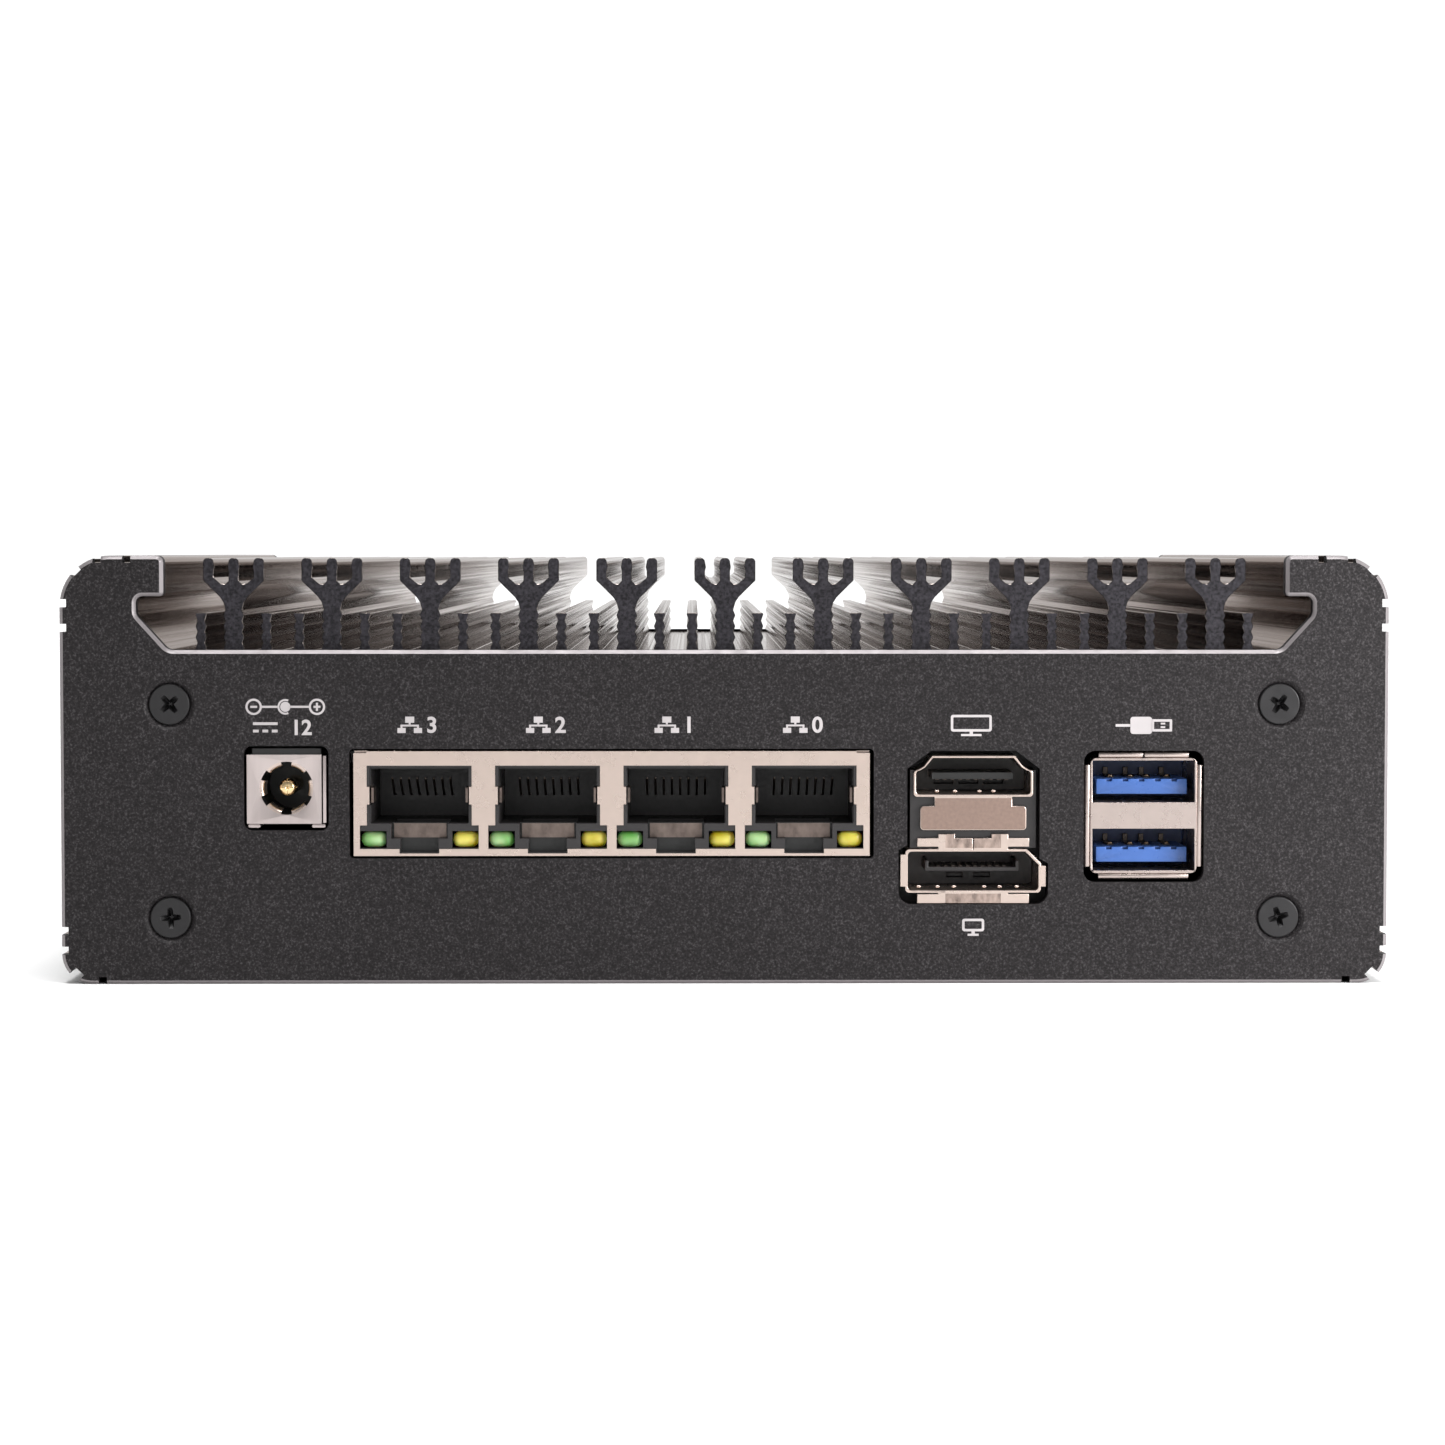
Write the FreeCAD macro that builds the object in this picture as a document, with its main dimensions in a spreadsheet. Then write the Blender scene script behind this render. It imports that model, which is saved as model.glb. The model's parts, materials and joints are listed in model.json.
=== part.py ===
import FreeCAD, Part
import os
import re
from collections import namedtuple
from math import atan2, pi

import Sketcher

# A fanless mini PC. Millimetres, +Z up, +X to the right of somebody facing the port side.
# The port side faces -Y and the button side +Y. The origin is the middle of the underside.
# Everything electronic hangs from a board that is mounted face down under the finned roof.

V = FreeCAD.Vector
Corner = namedtuple("Corner", "x y centre", defaults=(None,))
Circle = namedtuple("Circle", "x y radius")

SIZES = {
    # How far joined pieces run into each other, and cutters run past a face
    "joint": 0.1,
    # Case
    "case_width": 162.0,
    "case_depth": 127.0,
    "case_height": 52.3,
    "plate_thick": 2.0,
    "edge_chamfer": 0.45,
    "top_corner": 6.2,
    "bottom_corner": 3.7,
    "wall_thick": 3.5,
    "roof_top": 40.8,
    "roof_underside": 36.8,
    # Shoulders beside the fins
    "shoulder_reach": 68.35,
    "shoulder_nose": 0.8,
    "shoulder_edge": 0.5,
    "shoulder_step": 47.35,
    "pocket_reach": 71.7,
    "pocket_low": 45.1,
    "fin_floor_reach": 67.8,
    "plate_lip": 0.35,
    # Bends at the two ends of the ramp between the trough's floor and the pocket
    "floor_ease": 0.7,
    "floor_ease_x": 0.47,
    "floor_ease_z": 0.52,
    "floor_bend": 1.58,
    "pocket_ease": 0.5,
    "pocket_ease_x": 0.34,
    "pocket_ease_z": 0.37,
    "pocket_bend": 1.3,
    "channel_inner": 73.6,
    "channel_low": 38.8,
    "channel_high": 48.3,
    # Grooves along the case
    "groove_wide": 1.0,
    "groove_deep": 0.87,
    "corner_groove_x": 79.3,
    "corner_groove_high": 50.6,
    "corner_groove_low": 1.1,
    # Fins
    "fin_pitch": 12.0,
    "short_fin_offset": 4.0,
    "fin_groups": 11,
    "fin_root": 40.0,
    "rib_start": 41.0,
    "rib_pitch": 1.33,
    "rib_crest": 1.27,
    "rib_valley": 1.02,
    "short_crest": 0.69,
    "short_valley": 0.44,
    "short_round": 0.2,
    "short_top": 45.3,
    "stem_ribs": 4,
    "short_ribs": 3,
    "stem_top": 46.6,
    "neck_low": 47.2,
    "neck_reach": 1.66,
    "prong_low": 49.25,
    "prong_top": 52.0,
    "prong_reach": 3.72,
    "prong_inner": 2.44,
    "prong_bulge": 2.32,
    "prong_round": 0.5,
    "prong_waist_high": 50.9,
    "prong_waist_low": 50.4,
    "prong_foot": 49.6,
    "gap_floor_reach": 1.64,
    "gap_floor": 48.9,
    "gap_inner_reach": 1.02,
    "gap_inner_floor": 48.8,
    "middle_foot": 49.2,
    "middle_prong": 0.62,
    "middle_bulge": 0.72,
    # Underside
    "cover_thick": 2.0,
    "cover_reach": 75.5,
    "cover_seam": 1.0,
    "cover_end_gap": 0.1,
    "ledge_inner": 63.7,
    "ledge_low": 2.1,
    "ledge_high": 12.1,
    "upper_ledge_low": 30.2,
    "cover_screw_x": 71.5,
    "cover_screw_y": 50.0,
    "cover_tap_deep": 6.5,
    "bracket_spacing": 75.0,
    "bracket_tap_radius": 1.65,
    # Screws
    "screw_x": 67.7,
    "screw_low": 8.1,
    "screw_high": 34.2,
    "screw_radius": 1.45,
    "tap_radius": 1.5,
    "clear_radius": 1.7,
    "sink_radius": 3.15,
    "head_radius": 2.8,
    "head_sunk": 0.2,
    "head_rim": 0.1,
    "head_cone": 1.35,
    "screw_length": 9.0,
    "cover_screw_length": 7.5,
    "recess_wide": 0.62,
    "recess_long": 3.0,
    "recess_deep": 1.1,
    "pan_radius": 2.75,
    "pan_high": 1.7,
    # Mainboard and what stands on it
    "board_low": 28.9,
    "board_thick": 1.6,
    "board_half": 60.0,
    "board_hole_x": 56.0,
    "board_hole_rear": -41.0,
    "board_hole_front": 55.0,
    "standoff_radius": 2.75,
    "board_screw_top": 36.0,
    "package_wide": 28.0,
    "package_deep": 25.0,
    "package_high": 1.0,
    "die_wide": 12.0,
    "die_deep": 9.0,
    "die_high": 0.6,
    "processor_y": 8.0,
    "heat_block_half": 22.0,
    "pad_thick": 0.3,
    "controller_side": 6.0,
    "controller_high": 0.9,
    "controller_y": -30.0,
    "transformer_deep": 14.0,
    "transformer_wide": 8.0,
    "transformer_high": 3.4,
    "transformer_y": -48.0,
    "inductor_side": 6.6,
    "inductor_high": 3.0,
    "inductor_y": 38.0,
    "inductor_pitch": 9.0,
    "inductor_count": 5,
    "capacitor_radius": 3.15,
    "capacitor_high": 5.6,
    "capacitor_y": 48.0,
    # Memory, drive and clock battery
    "socket_half": 36.4,
    "socket_deep": 5.6,
    "socket_high": 4.4,
    "socket_arm": 2.0,
    "socket_reach": 26.0,
    "module_half": 33.8,
    "module_deep": 30.0,
    "module_thick": 1.2,
    "module_drop": 1.7,
    "module_insert": 4.0,
    "slot_gap": 0.05,
    "memory_y": 39.0,
    "memory_pitch": 34.0,
    "chip_wide": 10.0,
    "chip_deep": 12.0,
    "chip_high": 1.0,
    "chip_pitch": 15.0,
    "chip_count": 4,
    "drive_x": 48.0,
    "drive_rear": -34.0,
    "drive_long": 80.0,
    "drive_wide": 22.0,
    "drive_thick": 0.8,
    "drive_drop": 2.2,
    "drive_insert": 3.0,
    "drive_socket_deep": 5.0,
    "drive_socket_high": 4.2,
    "drive_chip_wide": 14.0,
    "drive_chip_long": 18.0,
    "drive_chip_start": 16.0,
    "drive_chip_pitch": 24.0,
    "drive_chip_count": 3,
    "drive_screw_high": 1.0,
    "battery_x": -49.0,
    "battery_y": -14.0,
    "battery_radius": 10.0,
    "battery_thick": 3.2,
    "battery_drop": 0.8,
    "holder_half": 10.9,
    "holder_gap": 0.1,
    # Ports in general: distances behind the outer face of their plate
    "port_face": 0.3,
    "sheet_thick": 0.3,
    "sheet_fit": 0.02,
    # Power inlet
    "inlet_x": -53.5,
    "inlet_z": 23.95,
    "inlet_half_wide": 4.83,
    "inlet_face_low": -4.35,
    "inlet_face_high": 4.1,
    "inlet_core_half": 4.25,
    "inlet_core_high": 4.9,
    "inlet_foot_wide": 1.5,
    "inlet_foot_low": -4.85,
    "inlet_foot_deep": 4.0,
    "inlet_cut_half": 5.17,
    "inlet_cut_round": 1.0,
    "inlet_mouth": 3.25,
    "inlet_deep": 14.0,
    "inlet_bore_deep": 10.5,
    "pin_radius": 1.05,
    "pin_face": 1.3,
    "pin_slot_wide": 0.22,
    "pin_slot_deep": 1.4,
    "pin_hole": 0.32,
    "contact_ring": 2.8,
    "contact_ring_face": 0.7,
    "contact_slot": 0.9,
    "contact_slot_deep": 9.0,
    # Network sockets
    "lan_middle": -13.83,
    "lan_pitch": 15.66,
    "lan_ports": 4,
    "lan_half": 31.5,
    "lan_low": 15.65,
    "lan_high": 28.45,
    "lan_cut_half": 32.0,
    "lan_cut_low": 15.35,
    "lan_cut_high": 28.75,
    "lan_cut_round": 0.5,
    "lan_deep": 25.0,
    "lan_window_half": 6.4,
    "lan_window_low": 19.4,
    "lan_window_high": 26.7,
    "lan_foot_half": 7.25,
    "lan_foot_low": 16.5,
    "lan_latch_half": 2.43,
    "lan_latch_low": 15.95,
    "lan_corner_wide": 1.6,
    "lan_corner_high": 0.22,
    "lan_frame": 0.32,
    "lan_insert_half": 7.2,
    "lan_insert_face": 0.42,
    "lan_frame_deep": 1.2,
    "lan_throat_half": 5.95,
    "lan_throat_low": 19.6,
    "lan_throat_high": 26.3,
    "lan_throat_deep": 15.0,
    "lan_spring_low": 21.95,
    "lan_spring_high": 24.1,
    "lan_spring_deep": 5.0,
    "lan_spring_half": 6.08,
    "lan_plate_half": 3.45,
    "lan_plate_low": 17.75,
    "lan_plate_high": 19.65,
    "lan_plate_face": 2.2,
    "lan_latch_deep": 9.0,
    "lan_light_outer": 7.2,
    "lan_light_inner": 4.0,
    "lan_light_low": 16.6,
    "lan_light_high": 18.7,
    "lan_light_face": 0.7,
    "lan_light_deep": 6.0,
    "lan_contacts": 8,
    "lan_contact_pitch": 1.016,
    "lan_contact_wide": 0.4,
    "lan_contact_face": 4.5,
    "lan_contact_long": 8.0,
    "lan_contact_top": 25.95,
    "lan_contact_thick": 0.3,
    "lan_contact_lean": 11.5,
    # Video sockets
    "video_x": 30.33,
    "video_cut_low": 9.7,
    "video_cut_high": 28.5,
    "video_cut_left_step": 16.35,
    "video_cut_right_step": 14.7,
    "video_cut_step_rise": 0.6,
    "video_cut_shoulder": 26.3,
    "video_cut_half": 8.1,
    "video_cut_top_half": 5.2,
    "video_cut_low_half": 9.15,
    "video_cut_round": 1.6,
    "upper_half": 7.3,
    "upper_low": 22.85,
    "upper_shoulder": 26.15,
    "upper_waist": 26.6,
    "upper_waist_half": 6.05,
    "upper_high": 27.9,
    "upper_top_half": 5.05,
    "upper_round": 0.45,
    # A sloping wall's corners move by this share of an inset
    "shoulder_share": 0.3,
    "waist_share": 0.5,
    "top_share": 0.4,
    "cut_share": 0.4,
    "upper_deep": 11.5,
    "upper_tongue_half": 5.0,
    "upper_tongue_low": 24.9,
    "upper_tongue_high": 25.75,
    "upper_tongue_face": 2.2,
    "upper_back": 8.5,
    "upper_contacts": 10,
    "upper_contact_pitch": 0.95,
    "upper_slots": 3,
    "upper_slot_half": 1.2,
    "upper_slot_pitch": 3.1,
    "upper_slot_low": 24.0,
    "slot_high": 0.55,
    "slot_deep": 0.8,
    "flap_neck_half": 4.75,
    "flap_half": 6.48,
    "flap_low": 18.78,
    "flap_high": 21.72,
    "flap_round": 0.45,
    "lower_half": 8.3,
    "lower_low": 11.1,
    "lower_high": 16.45,
    "lower_cut": 1.75,
    "lower_round": 0.5,
    "lower_deep": 12.0,
    "lower_tongue_half": 5.75,
    "lower_tongue_low": 13.6,
    "lower_tongue_high": 14.1,
    "lower_tongue_leg": 14.9,
    "lower_leg_wide": 0.4,
    "lower_slots": 2,
    "lower_slot_half": 1.0,
    "lower_slot_pitch": 3.4,
    "lower_slot_low": 12.3,
    "lower_tongue_face": 2.4,
    "lower_back": 9.0,
    "lower_contacts": 10,
    "lower_contact_pitch": 0.9,
    "lower_flap_half": 6.83,
    "lower_flap_root": 4.27,
    "lower_flap_split": 0.06,
    "lower_flap_low": 16.75,
    "lower_flap_high": 17.8,
    "lower_ear_inner": 2.25,
    "lower_ear_high": 18.3,
    "lower_foot_low": 9.8,
    "lower_foot_high": 10.95,
    "lower_side_reach": 8.9,
    "lower_side_low": 11.85,
    "lower_left_side_high": 15.8,
    "lower_right_side_high": 14.4,
    "video_face_half": 7.7,
    "video_face_low": 16.55,
    "video_face_high": 26.1,
    "video_face": 0.9,
    "video_block_half": 9.4,
    "video_block_low": 9.2,
    "video_block_face": 6.0,
    "video_block_deep": 16.0,
    "video_back_thick": 2.0,
    "fine_contact_wide": 0.4,
    "fine_contact_thick": 0.12,
    "fine_contact_setback": 0.6,
    # Double serial-bus stacks, one on each plate
    "stack_rear_x": 51.15,
    "stack_front_x": -44.0,
    "stack_cut_half": 7.35,
    "stack_cut_low": 12.4,
    "stack_cut_high": 28.5,
    "stack_cut_round": 1.4,
    "stack_half": 6.5,
    "stack_inner_half": 6.25,
    "stack_round": 0.7,
    "stack_low": 13.5,
    "stack_high": 27.6,
    "stack_deep": 17.5,
    "stack_port_high": 5.15,
    "stack_lower_floor": 13.8,
    "stack_upper_floor": 22.15,
    "stack_back": 12.0,
    "stack_back_thick": 0.5,
    "tongue_half": 5.55,
    "tongue_rise": 0.9,
    "tongue_thick": 1.84,
    "tongue_face": 2.4,
    "bus_contact_wide": 1.0,
    "bus_contact_thick": 0.15,
    "bus_contact_face": 5.8,
    "bus_contact_long": 6.2,
    "bus_outer_contact": 3.5,
    "bus_inner_contact": 1.0,
    "lip_radius": 0.42,
    "lip_side_low": 14.3,
    "lip_side_high": 26.75,
    "lip_half": 5.5,
    "lip_sunk": 0.05,
    "lip_split": 0.1,
    # Power button
    "button_x": 42.0,
    "button_z": 25.5,
    "button_hole": 4.0,
    "button_radius": 3.8,
    "button_proud": 0.5,
    "button_rim": 0.35,
    "button_flange": 4.7,
    "flange_thick": 0.6,
    "flange_gap": 0.1,
    "stem_radius": 1.4,
    "plunger_radius": 1.6,
    "plunger_gap": 0.12,
    "plunger_face": 4.6,
    "plunger_long": 2.4,
    "switch_face": 5.8,
    "switch_half": 3.0,
    "switch_deep": 3.6,
    "switch_bore_deep": 2.0,
    # Reset switch and status lights
    "reset_x": 28.0,
    "reset_z": 26.5,
    "reset_hole": 0.75,
    "reset_plunger_radius": 0.9,
    "reset_plunger_face": 2.6,
    "reset_plunger_long": 2.2,
    "reset_face": 3.6,
    "reset_half": 2.2,
    "reset_deep": 3.2,
    "reset_bore_deep": 1.7,
    "light_x": 16.0,
    "light_pitch": 5.0,
    "light_count": 2,
    "light_z": 27.4,
    "light_hole": 1.0,
    "light_radius": 0.95,
    "light_pipe_deep": 6.5,
    "light_face": 0.2,
    "light_flange": 1.4,
    "light_flange_thick": 1.0,
    "diode_gap": 0.1,
    "diode_half": 1.0,
    "diode_low": 26.9,
    "diode_deep": 1.5,
}
PORT_SIDE = -1
BUTTON_SIDE = 1
SIDES = (-1, 1)
SIDE_GROOVE_HEIGHTS = ("4.1", "6.5", "case_height - 8.8", "case_height - 5.8")
TOP_GROOVE_PLACES = ("72.8", "76.4")
PORT_SCREW_TURNS = (4, 42, 17, 55)
PLAIN_SCREW_TURNS = (0, 25, 50, 75)
PIN_SLOT_ANGLES = (45, 135)
FINGER_GAP_ANGLES = (30, 90, 150)

doc = FreeCAD.newDocument("mini_pc")
sheet = doc.addObject("Spreadsheet::Sheet", "Dims")
for row, (alias, size) in enumerate(SIZES.items(), start=1):
    sheet.set(f"A{row}", alias)
    sheet.set(f"B{row}", str(size))
    sheet.setAlias(f"B{row}", alias)
doc.recompute()
NODES = {}


# ---------------------------------------------------------------- formulas

def bound(formula):
    """The formula with every size written as the sheet's own cell."""
    return re.sub(r"[a-z]\w*", lambda word: "Dims." + word.group(0), str(formula))


def value(formula):
    return float(sheet.evalExpression(bound(formula)))


def around(centre, half):
    """The low and high ends of a span centred on a place."""
    return f"{centre} - ({half})", f"{centre} + ({half})"


def ordered(first, second):
    """Two places as a low and a high end."""
    return tuple(sorted((first, second), key=value))


def centred_steps(count):
    """How many pitches each of a row of things lies from the middle of the row."""
    number = int(SIZES[count])
    return [place - (number - 1) / 2 for place in range(number)]


def inward(side, near, far):
    """The y span between two depths behind the outer face of a plate."""
    if side < 0:
        return f"-case_depth / 2 + {near}", f"-case_depth / 2 + {far}"
    return f"case_depth / 2 - ({far})", f"case_depth / 2 - ({near})"


# ---------------------------------------------------------------- solids

def block(name, x, y, z):
    """A box; x, y and z are each the formulas of its low and high ends."""
    solid = doc.addObject("Part::Box", name)
    for size_name, letter, (low, high) in zip(("Length", "Width", "Height"), "xyz", (x, y, z)):
        solid.setExpression(size_name, bound(f"({high}) - ({low})"))
        solid.setExpression("Placement.Base." + letter, bound(low))
    return solid


def stand_along(solid, axis, start, base):
    """Lay a round solid along an axis; base holds the other two coordinates."""
    rotations = {
        "x": FreeCAD.Rotation(V(0, 1, 0), 90),
        "y": FreeCAD.Rotation(V(1, 0, 0), -90),
        "z": FreeCAD.Rotation(),
    }
    solid.Placement = FreeCAD.Placement(V(), rotations[axis])
    place = list(base)
    place.insert("xyz".index(axis), start)
    for letter, formula in zip("xyz", place):
        solid.setExpression("Placement.Base." + letter, bound(formula))


def rod(name, axis, base, span, radius):
    solid = doc.addObject("Part::Cylinder", name)
    solid.setExpression("Radius", bound(radius))
    solid.setExpression("Height", bound(f"({span[1]}) - ({span[0]})"))
    stand_along(solid, axis, span[0], base)
    return solid


def cone(name, axis, base, span, first_radius, last_radius):
    solid = doc.addObject("Part::Cone", name)
    solid.setExpression("Radius1", bound(first_radius))
    solid.setExpression("Radius2", bound(last_radius))
    solid.setExpression("Height", bound(f"({span[1]}) - ({span[0]})"))
    stand_along(solid, axis, span[0], base)
    return solid


def fuse(name, solids):
    joined = doc.addObject("Part::MultiFuse", name)
    joined.Shapes = solids
    joined.Refine = True
    return joined


def cut(name, base, tools):
    result = doc.addObject("Part::Cut", name)
    result.Base = base
    result.Tool = tools[0] if len(tools) == 1 else fuse(name + "_tools", tools)
    return result


def group(name, solids):
    compound = doc.addObject("Part::Compound", name)
    compound.Links = solids
    return compound


def placed(name, master, x, y, z, rotation):
    """One more place for a master solid."""
    link = doc.addObject("App::Link", name)
    link.LinkedObject = master
    link.Placement = FreeCAD.Placement(V(), rotation)
    for letter, formula in zip("xyz", (x, y, z)):
        link.setExpression("Placement.Base." + letter, bound(formula))
    return link


def keep(node, shape_object):
    """Name a finished sub-part; its label is the name of its file."""
    shape_object.Label = node
    NODES[node] = shape_object


# ---------------------------------------------------------------- sketches

HEADINGS = {"up": (0, 1), "down": (0, -1), "left": (-1, 0), "right": (1, 0)}


def moved(formula, steps, length):
    if steps == 0:
        return formula
    return f"{formula} {'+' if steps > 0 else '-'} {length}"


def rounded(x, y, radius, arriving, leaving):
    """The two ends of a quarter arc that rounds a square corner."""
    from_x, from_y = HEADINGS[arriving]
    to_x, to_y = HEADINGS[leaving]
    centre = (moved(x, to_x - from_x, radius), moved(y, to_y - from_y, radius))
    return [
        Corner(moved(x, -from_x, radius), moved(y, -from_y, radius), centre),
        Corner(moved(x, to_x, radius), moved(y, to_y, radius)),
    ]


def rounded_rectangle(x, y, radius):
    (left, right), (low, high) = x, y
    return (
        rounded(right, low, radius, "right", "up")
        + rounded(right, high, radius, "up", "left")
        + rounded(left, high, radius, "left", "down")
        + rounded(left, low, radius, "down", "right")
    )


def rectangle(x, y):
    (left, right), (low, high) = x, y
    return [Corner(left, low), Corner(right, low), Corner(right, high), Corner(left, high)]


def mirrored(half):
    """The corners of the other half of an outline that is symmetric about x = 0."""
    left = []
    for index in range(len(half) - 1, -1, -1):
        corner = half[index]
        arc = half[index - 1].centre if index else None
        centre = (f"-({arc[0]})", arc[1]) if arc else None
        left.append(Corner(f"-({corner.x})", corner.y, centre))
    return left


def shifted_outline(centre, corners):
    """An outline drawn about x = 0, moved to its real centre."""
    moved_corners = []
    for corner in corners:
        arc = (f"{centre} + ({corner.centre[0]})", corner.centre[1]) if corner.centre else None
        moved_corners.append(Corner(f"{centre} + ({corner.x})", corner.y, arc))
    return moved_corners


def draw_circle(sketch, circle):
    centre = V(value(circle.x), value(circle.y), 0)
    radius = value(circle.radius)
    edge = sketch.addGeometry(Part.Circle(centre, V(0, 0, 1), radius), False)
    rules = [
        (Sketcher.Constraint("DistanceX", -1, 1, edge, 3, centre.x), circle.x),
        (Sketcher.Constraint("DistanceY", -1, 1, edge, 3, centre.y), circle.y),
        (Sketcher.Constraint("Radius", edge, radius), circle.radius),
    ]
    for rule, formula in rules:
        number = sketch.addConstraint(rule)
        sketch.setExpression(f"Constraints[{number}]", bound(formula))


def arc_between(start, end, centre):
    """The shorter arc, and whether it runs from end to start."""
    backward = (start - centre).cross(end - centre).z < 0
    first, last = (end, start) if backward else (start, end)
    angles = [atan2(spot.y - centre.y, spot.x - centre.x) for spot in (first, last)]
    if angles[1] < angles[0]:
        angles[1] += 2 * pi
    circle = Part.Circle(centre, V(0, 0, 1), (start - centre).Length)
    return Part.ArcOfCircle(circle, *angles), backward


def draw_outline(sketch, corners):
    """A closed outline; every corner, and every arc's centre, is bound to its formula."""
    first = sketch.GeometryCount
    count = len(corners)
    spots = [V(value(corner.x), value(corner.y), 0) for corner in corners]
    edges, starts, rules = [], [], []
    for index, corner in enumerate(corners):
        start, end = spots[index], spots[(index + 1) % count]
        if corner.centre is None:
            edges.append(Part.LineSegment(start, end))
            starts.append(1)
            continue
        centre = V(value(corner.centre[0]), value(corner.centre[1]), 0)
        arc, backward = arc_between(start, end, centre)
        edges.append(arc)
        starts.append(2 if backward else 1)
        chord = end - start
        axis = 0 if abs(chord.y) > abs(chord.x) else 1
        kind = ("DistanceX", "DistanceY")[axis]
        rule = Sketcher.Constraint(kind, -1, 1, first + index, 3, centre[axis])
        rules.append((rule, corner.centre[axis]))
    for index, corner in enumerate(corners):
        edge = first + index
        after = (index + 1) % count
        link = Sketcher.Constraint("Coincident", edge, 3 - starts[index], first + after, starts[after])
        rules.append((link, None))
        place = spots[index]
        rules.append((Sketcher.Constraint("DistanceX", -1, 1, edge, starts[index], place.x), corner.x))
        rules.append((Sketcher.Constraint("DistanceY", -1, 1, edge, starts[index], place.y), corner.y))
    sketch.addGeometry(edges, False)
    numbers = sketch.addConstraint([rule for rule, _ in rules])
    for number, (_, formula) in zip(numbers, rules):
        if formula is not None:
            sketch.setExpression(f"Constraints[{number}]", bound(formula))


def origin_feature(body, role):
    return [feature for feature in body.Origin.OriginFeatures if feature.Role == role][0]


def sketch_in(body, name, plane, offset, outlines):
    sketch = body.newObject("Sketcher::SketchObject", name)
    sketch.AttachmentSupport = [(origin_feature(body, plane), "")]
    sketch.MapMode = "FlatFace"
    sketch.setExpression("AttachmentOffset.Base.z", bound(offset))
    for outline in outlines:
        if isinstance(outline, Circle):
            draw_circle(sketch, outline)
        else:
            draw_outline(sketch, outline)
    return sketch


def pad(body, name, plane, offset, outlines, length, symmetric=False):
    feature = body.newObject("PartDesign::Pad", name)
    feature.Profile = sketch_in(body, name + "_sketch", plane, offset, outlines)
    feature.setExpression("Length", bound(length))
    if symmetric:
        feature.SideType = "Symmetric"
    return feature


def section(node, y, outlines):
    """A body with one constant section along y."""
    body = doc.addObject("PartDesign::Body", node)
    pad(body, node + "_pad", "XZ_Plane", f"-({y[1]})", outlines, f"({y[1]}) - ({y[0]})")
    return body


def check_cut(feature, base):
    """A pocket or hole that points away from its solid removes nothing, so its volume is compared."""
    doc.recompute()
    removed = base.Shape.Volume - feature.Shape.Volume
    if removed < 1:
        raise RuntimeError(f"{feature.Name} removes only {removed:.3f} cubic millimetres")


def pocket(body, name, plane, offset, outlines, length=None):
    """A pocket right through, or one of a length against the plane's normal."""
    base = body.Tip
    feature = body.newObject("PartDesign::Pocket", name)
    feature.Profile = sketch_in(body, name + "_sketch", plane, offset, outlines)
    if length is None:
        feature.Type = "ThroughAll"
        feature.SideType = "Symmetric"
    else:
        feature.setExpression("Length", bound(length))
        feature.Reversed = True
    check_cut(feature, base)
    return feature


def countersinks(body, name, plane, offset, spots, reversed_way):
    base = body.Tip
    circles = [Circle(x, y, "clear_radius") for x, y in spots]
    sketch = sketch_in(body, name + "_sketch", plane, offset, circles)
    doc.recompute()
    hole = body.newObject("PartDesign::Hole", name)
    hole.Profile = sketch
    doc.recompute()
    hole.DepthType = "ThroughAll"
    hole.setExpression("Diameter", bound("clear_radius * 2"))
    hole.HoleCutType = "Countersink"
    hole.HoleCutCustomValues = True
    hole.setExpression("HoleCutDiameter", bound("sink_radius * 2"))
    hole.HoleCutCountersinkAngle = 90
    hole.Reversed = reversed_way
    check_cut(hole, base)


# ---------------------------------------------------------------- case

def case_outline_half(floor):
    """Right half of the outline from the floor of the fins' trough down to the underside."""
    side = "case_width / 2"
    return (
        [
            Corner("fin_floor_reach - floor_ease", floor,
                   ("fin_floor_reach - floor_ease", f"{floor} + floor_bend")),
            Corner("fin_floor_reach + floor_ease_x", f"{floor} + floor_ease_z"),
            Corner("pocket_reach - pocket_ease_x", "pocket_low - pocket_ease_z",
                   ("pocket_reach - pocket_bend", "pocket_low + pocket_ease")),
            Corner("pocket_reach", "pocket_low + pocket_ease"),
        ]
        + rounded("pocket_reach", "shoulder_step", "shoulder_nose", "up", "left")
        + rounded("shoulder_reach", "shoulder_step", "shoulder_edge", "left", "up")
        + rounded("shoulder_reach", "case_height", "shoulder_nose", "up", "right")
        + rounded(side, "case_height", "top_corner", "right", "down")
        + rounded(side, "0", "bottom_corner", "down", "left")
    )


def groove_outlines(side):
    """Small notches across one side of the outline: on the wall, along the shoulder and on both corners."""
    outlines = []
    reach = "case_width / 2"
    for height in SIDE_GROOVE_HEIGHTS:
        span = ordered(f"{side} * ({reach} - groove_deep)", f"{side} * ({reach} + 1)")
        outlines.append(rectangle(span, around(height, "groove_wide / 2")))
    for place in TOP_GROOVE_PLACES:
        span = around(f"{side} * {place}", "groove_wide / 2")
        outlines.append(rectangle(span, ("case_height - groove_deep", "case_height + 1")))
    for height in ("corner_groove_high", "corner_groove_low"):
        centre = f"{side} * corner_groove_x"
        outlines.append([
            Corner(centre, f"{height} - groove_wide"),
            Corner(f"{centre} + groove_wide", height),
            Corner(centre, f"{height} + groove_wide"),
            Corner(f"{centre} - groove_wide", height),
        ])
    return outlines


def ribbed_stem(crest, valley, count):
    """The right side of a fin's stem, which widens and narrows as it rises."""
    corners = [Corner(crest, "fin_root")]
    for rib in range(int(SIZES[count])):
        height = f"rib_start + rib_pitch * {rib}"
        corners.append(Corner(crest, height))
        corners.append(Corner(valley, f"{height} + rib_pitch / 2"))
    return corners


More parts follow.
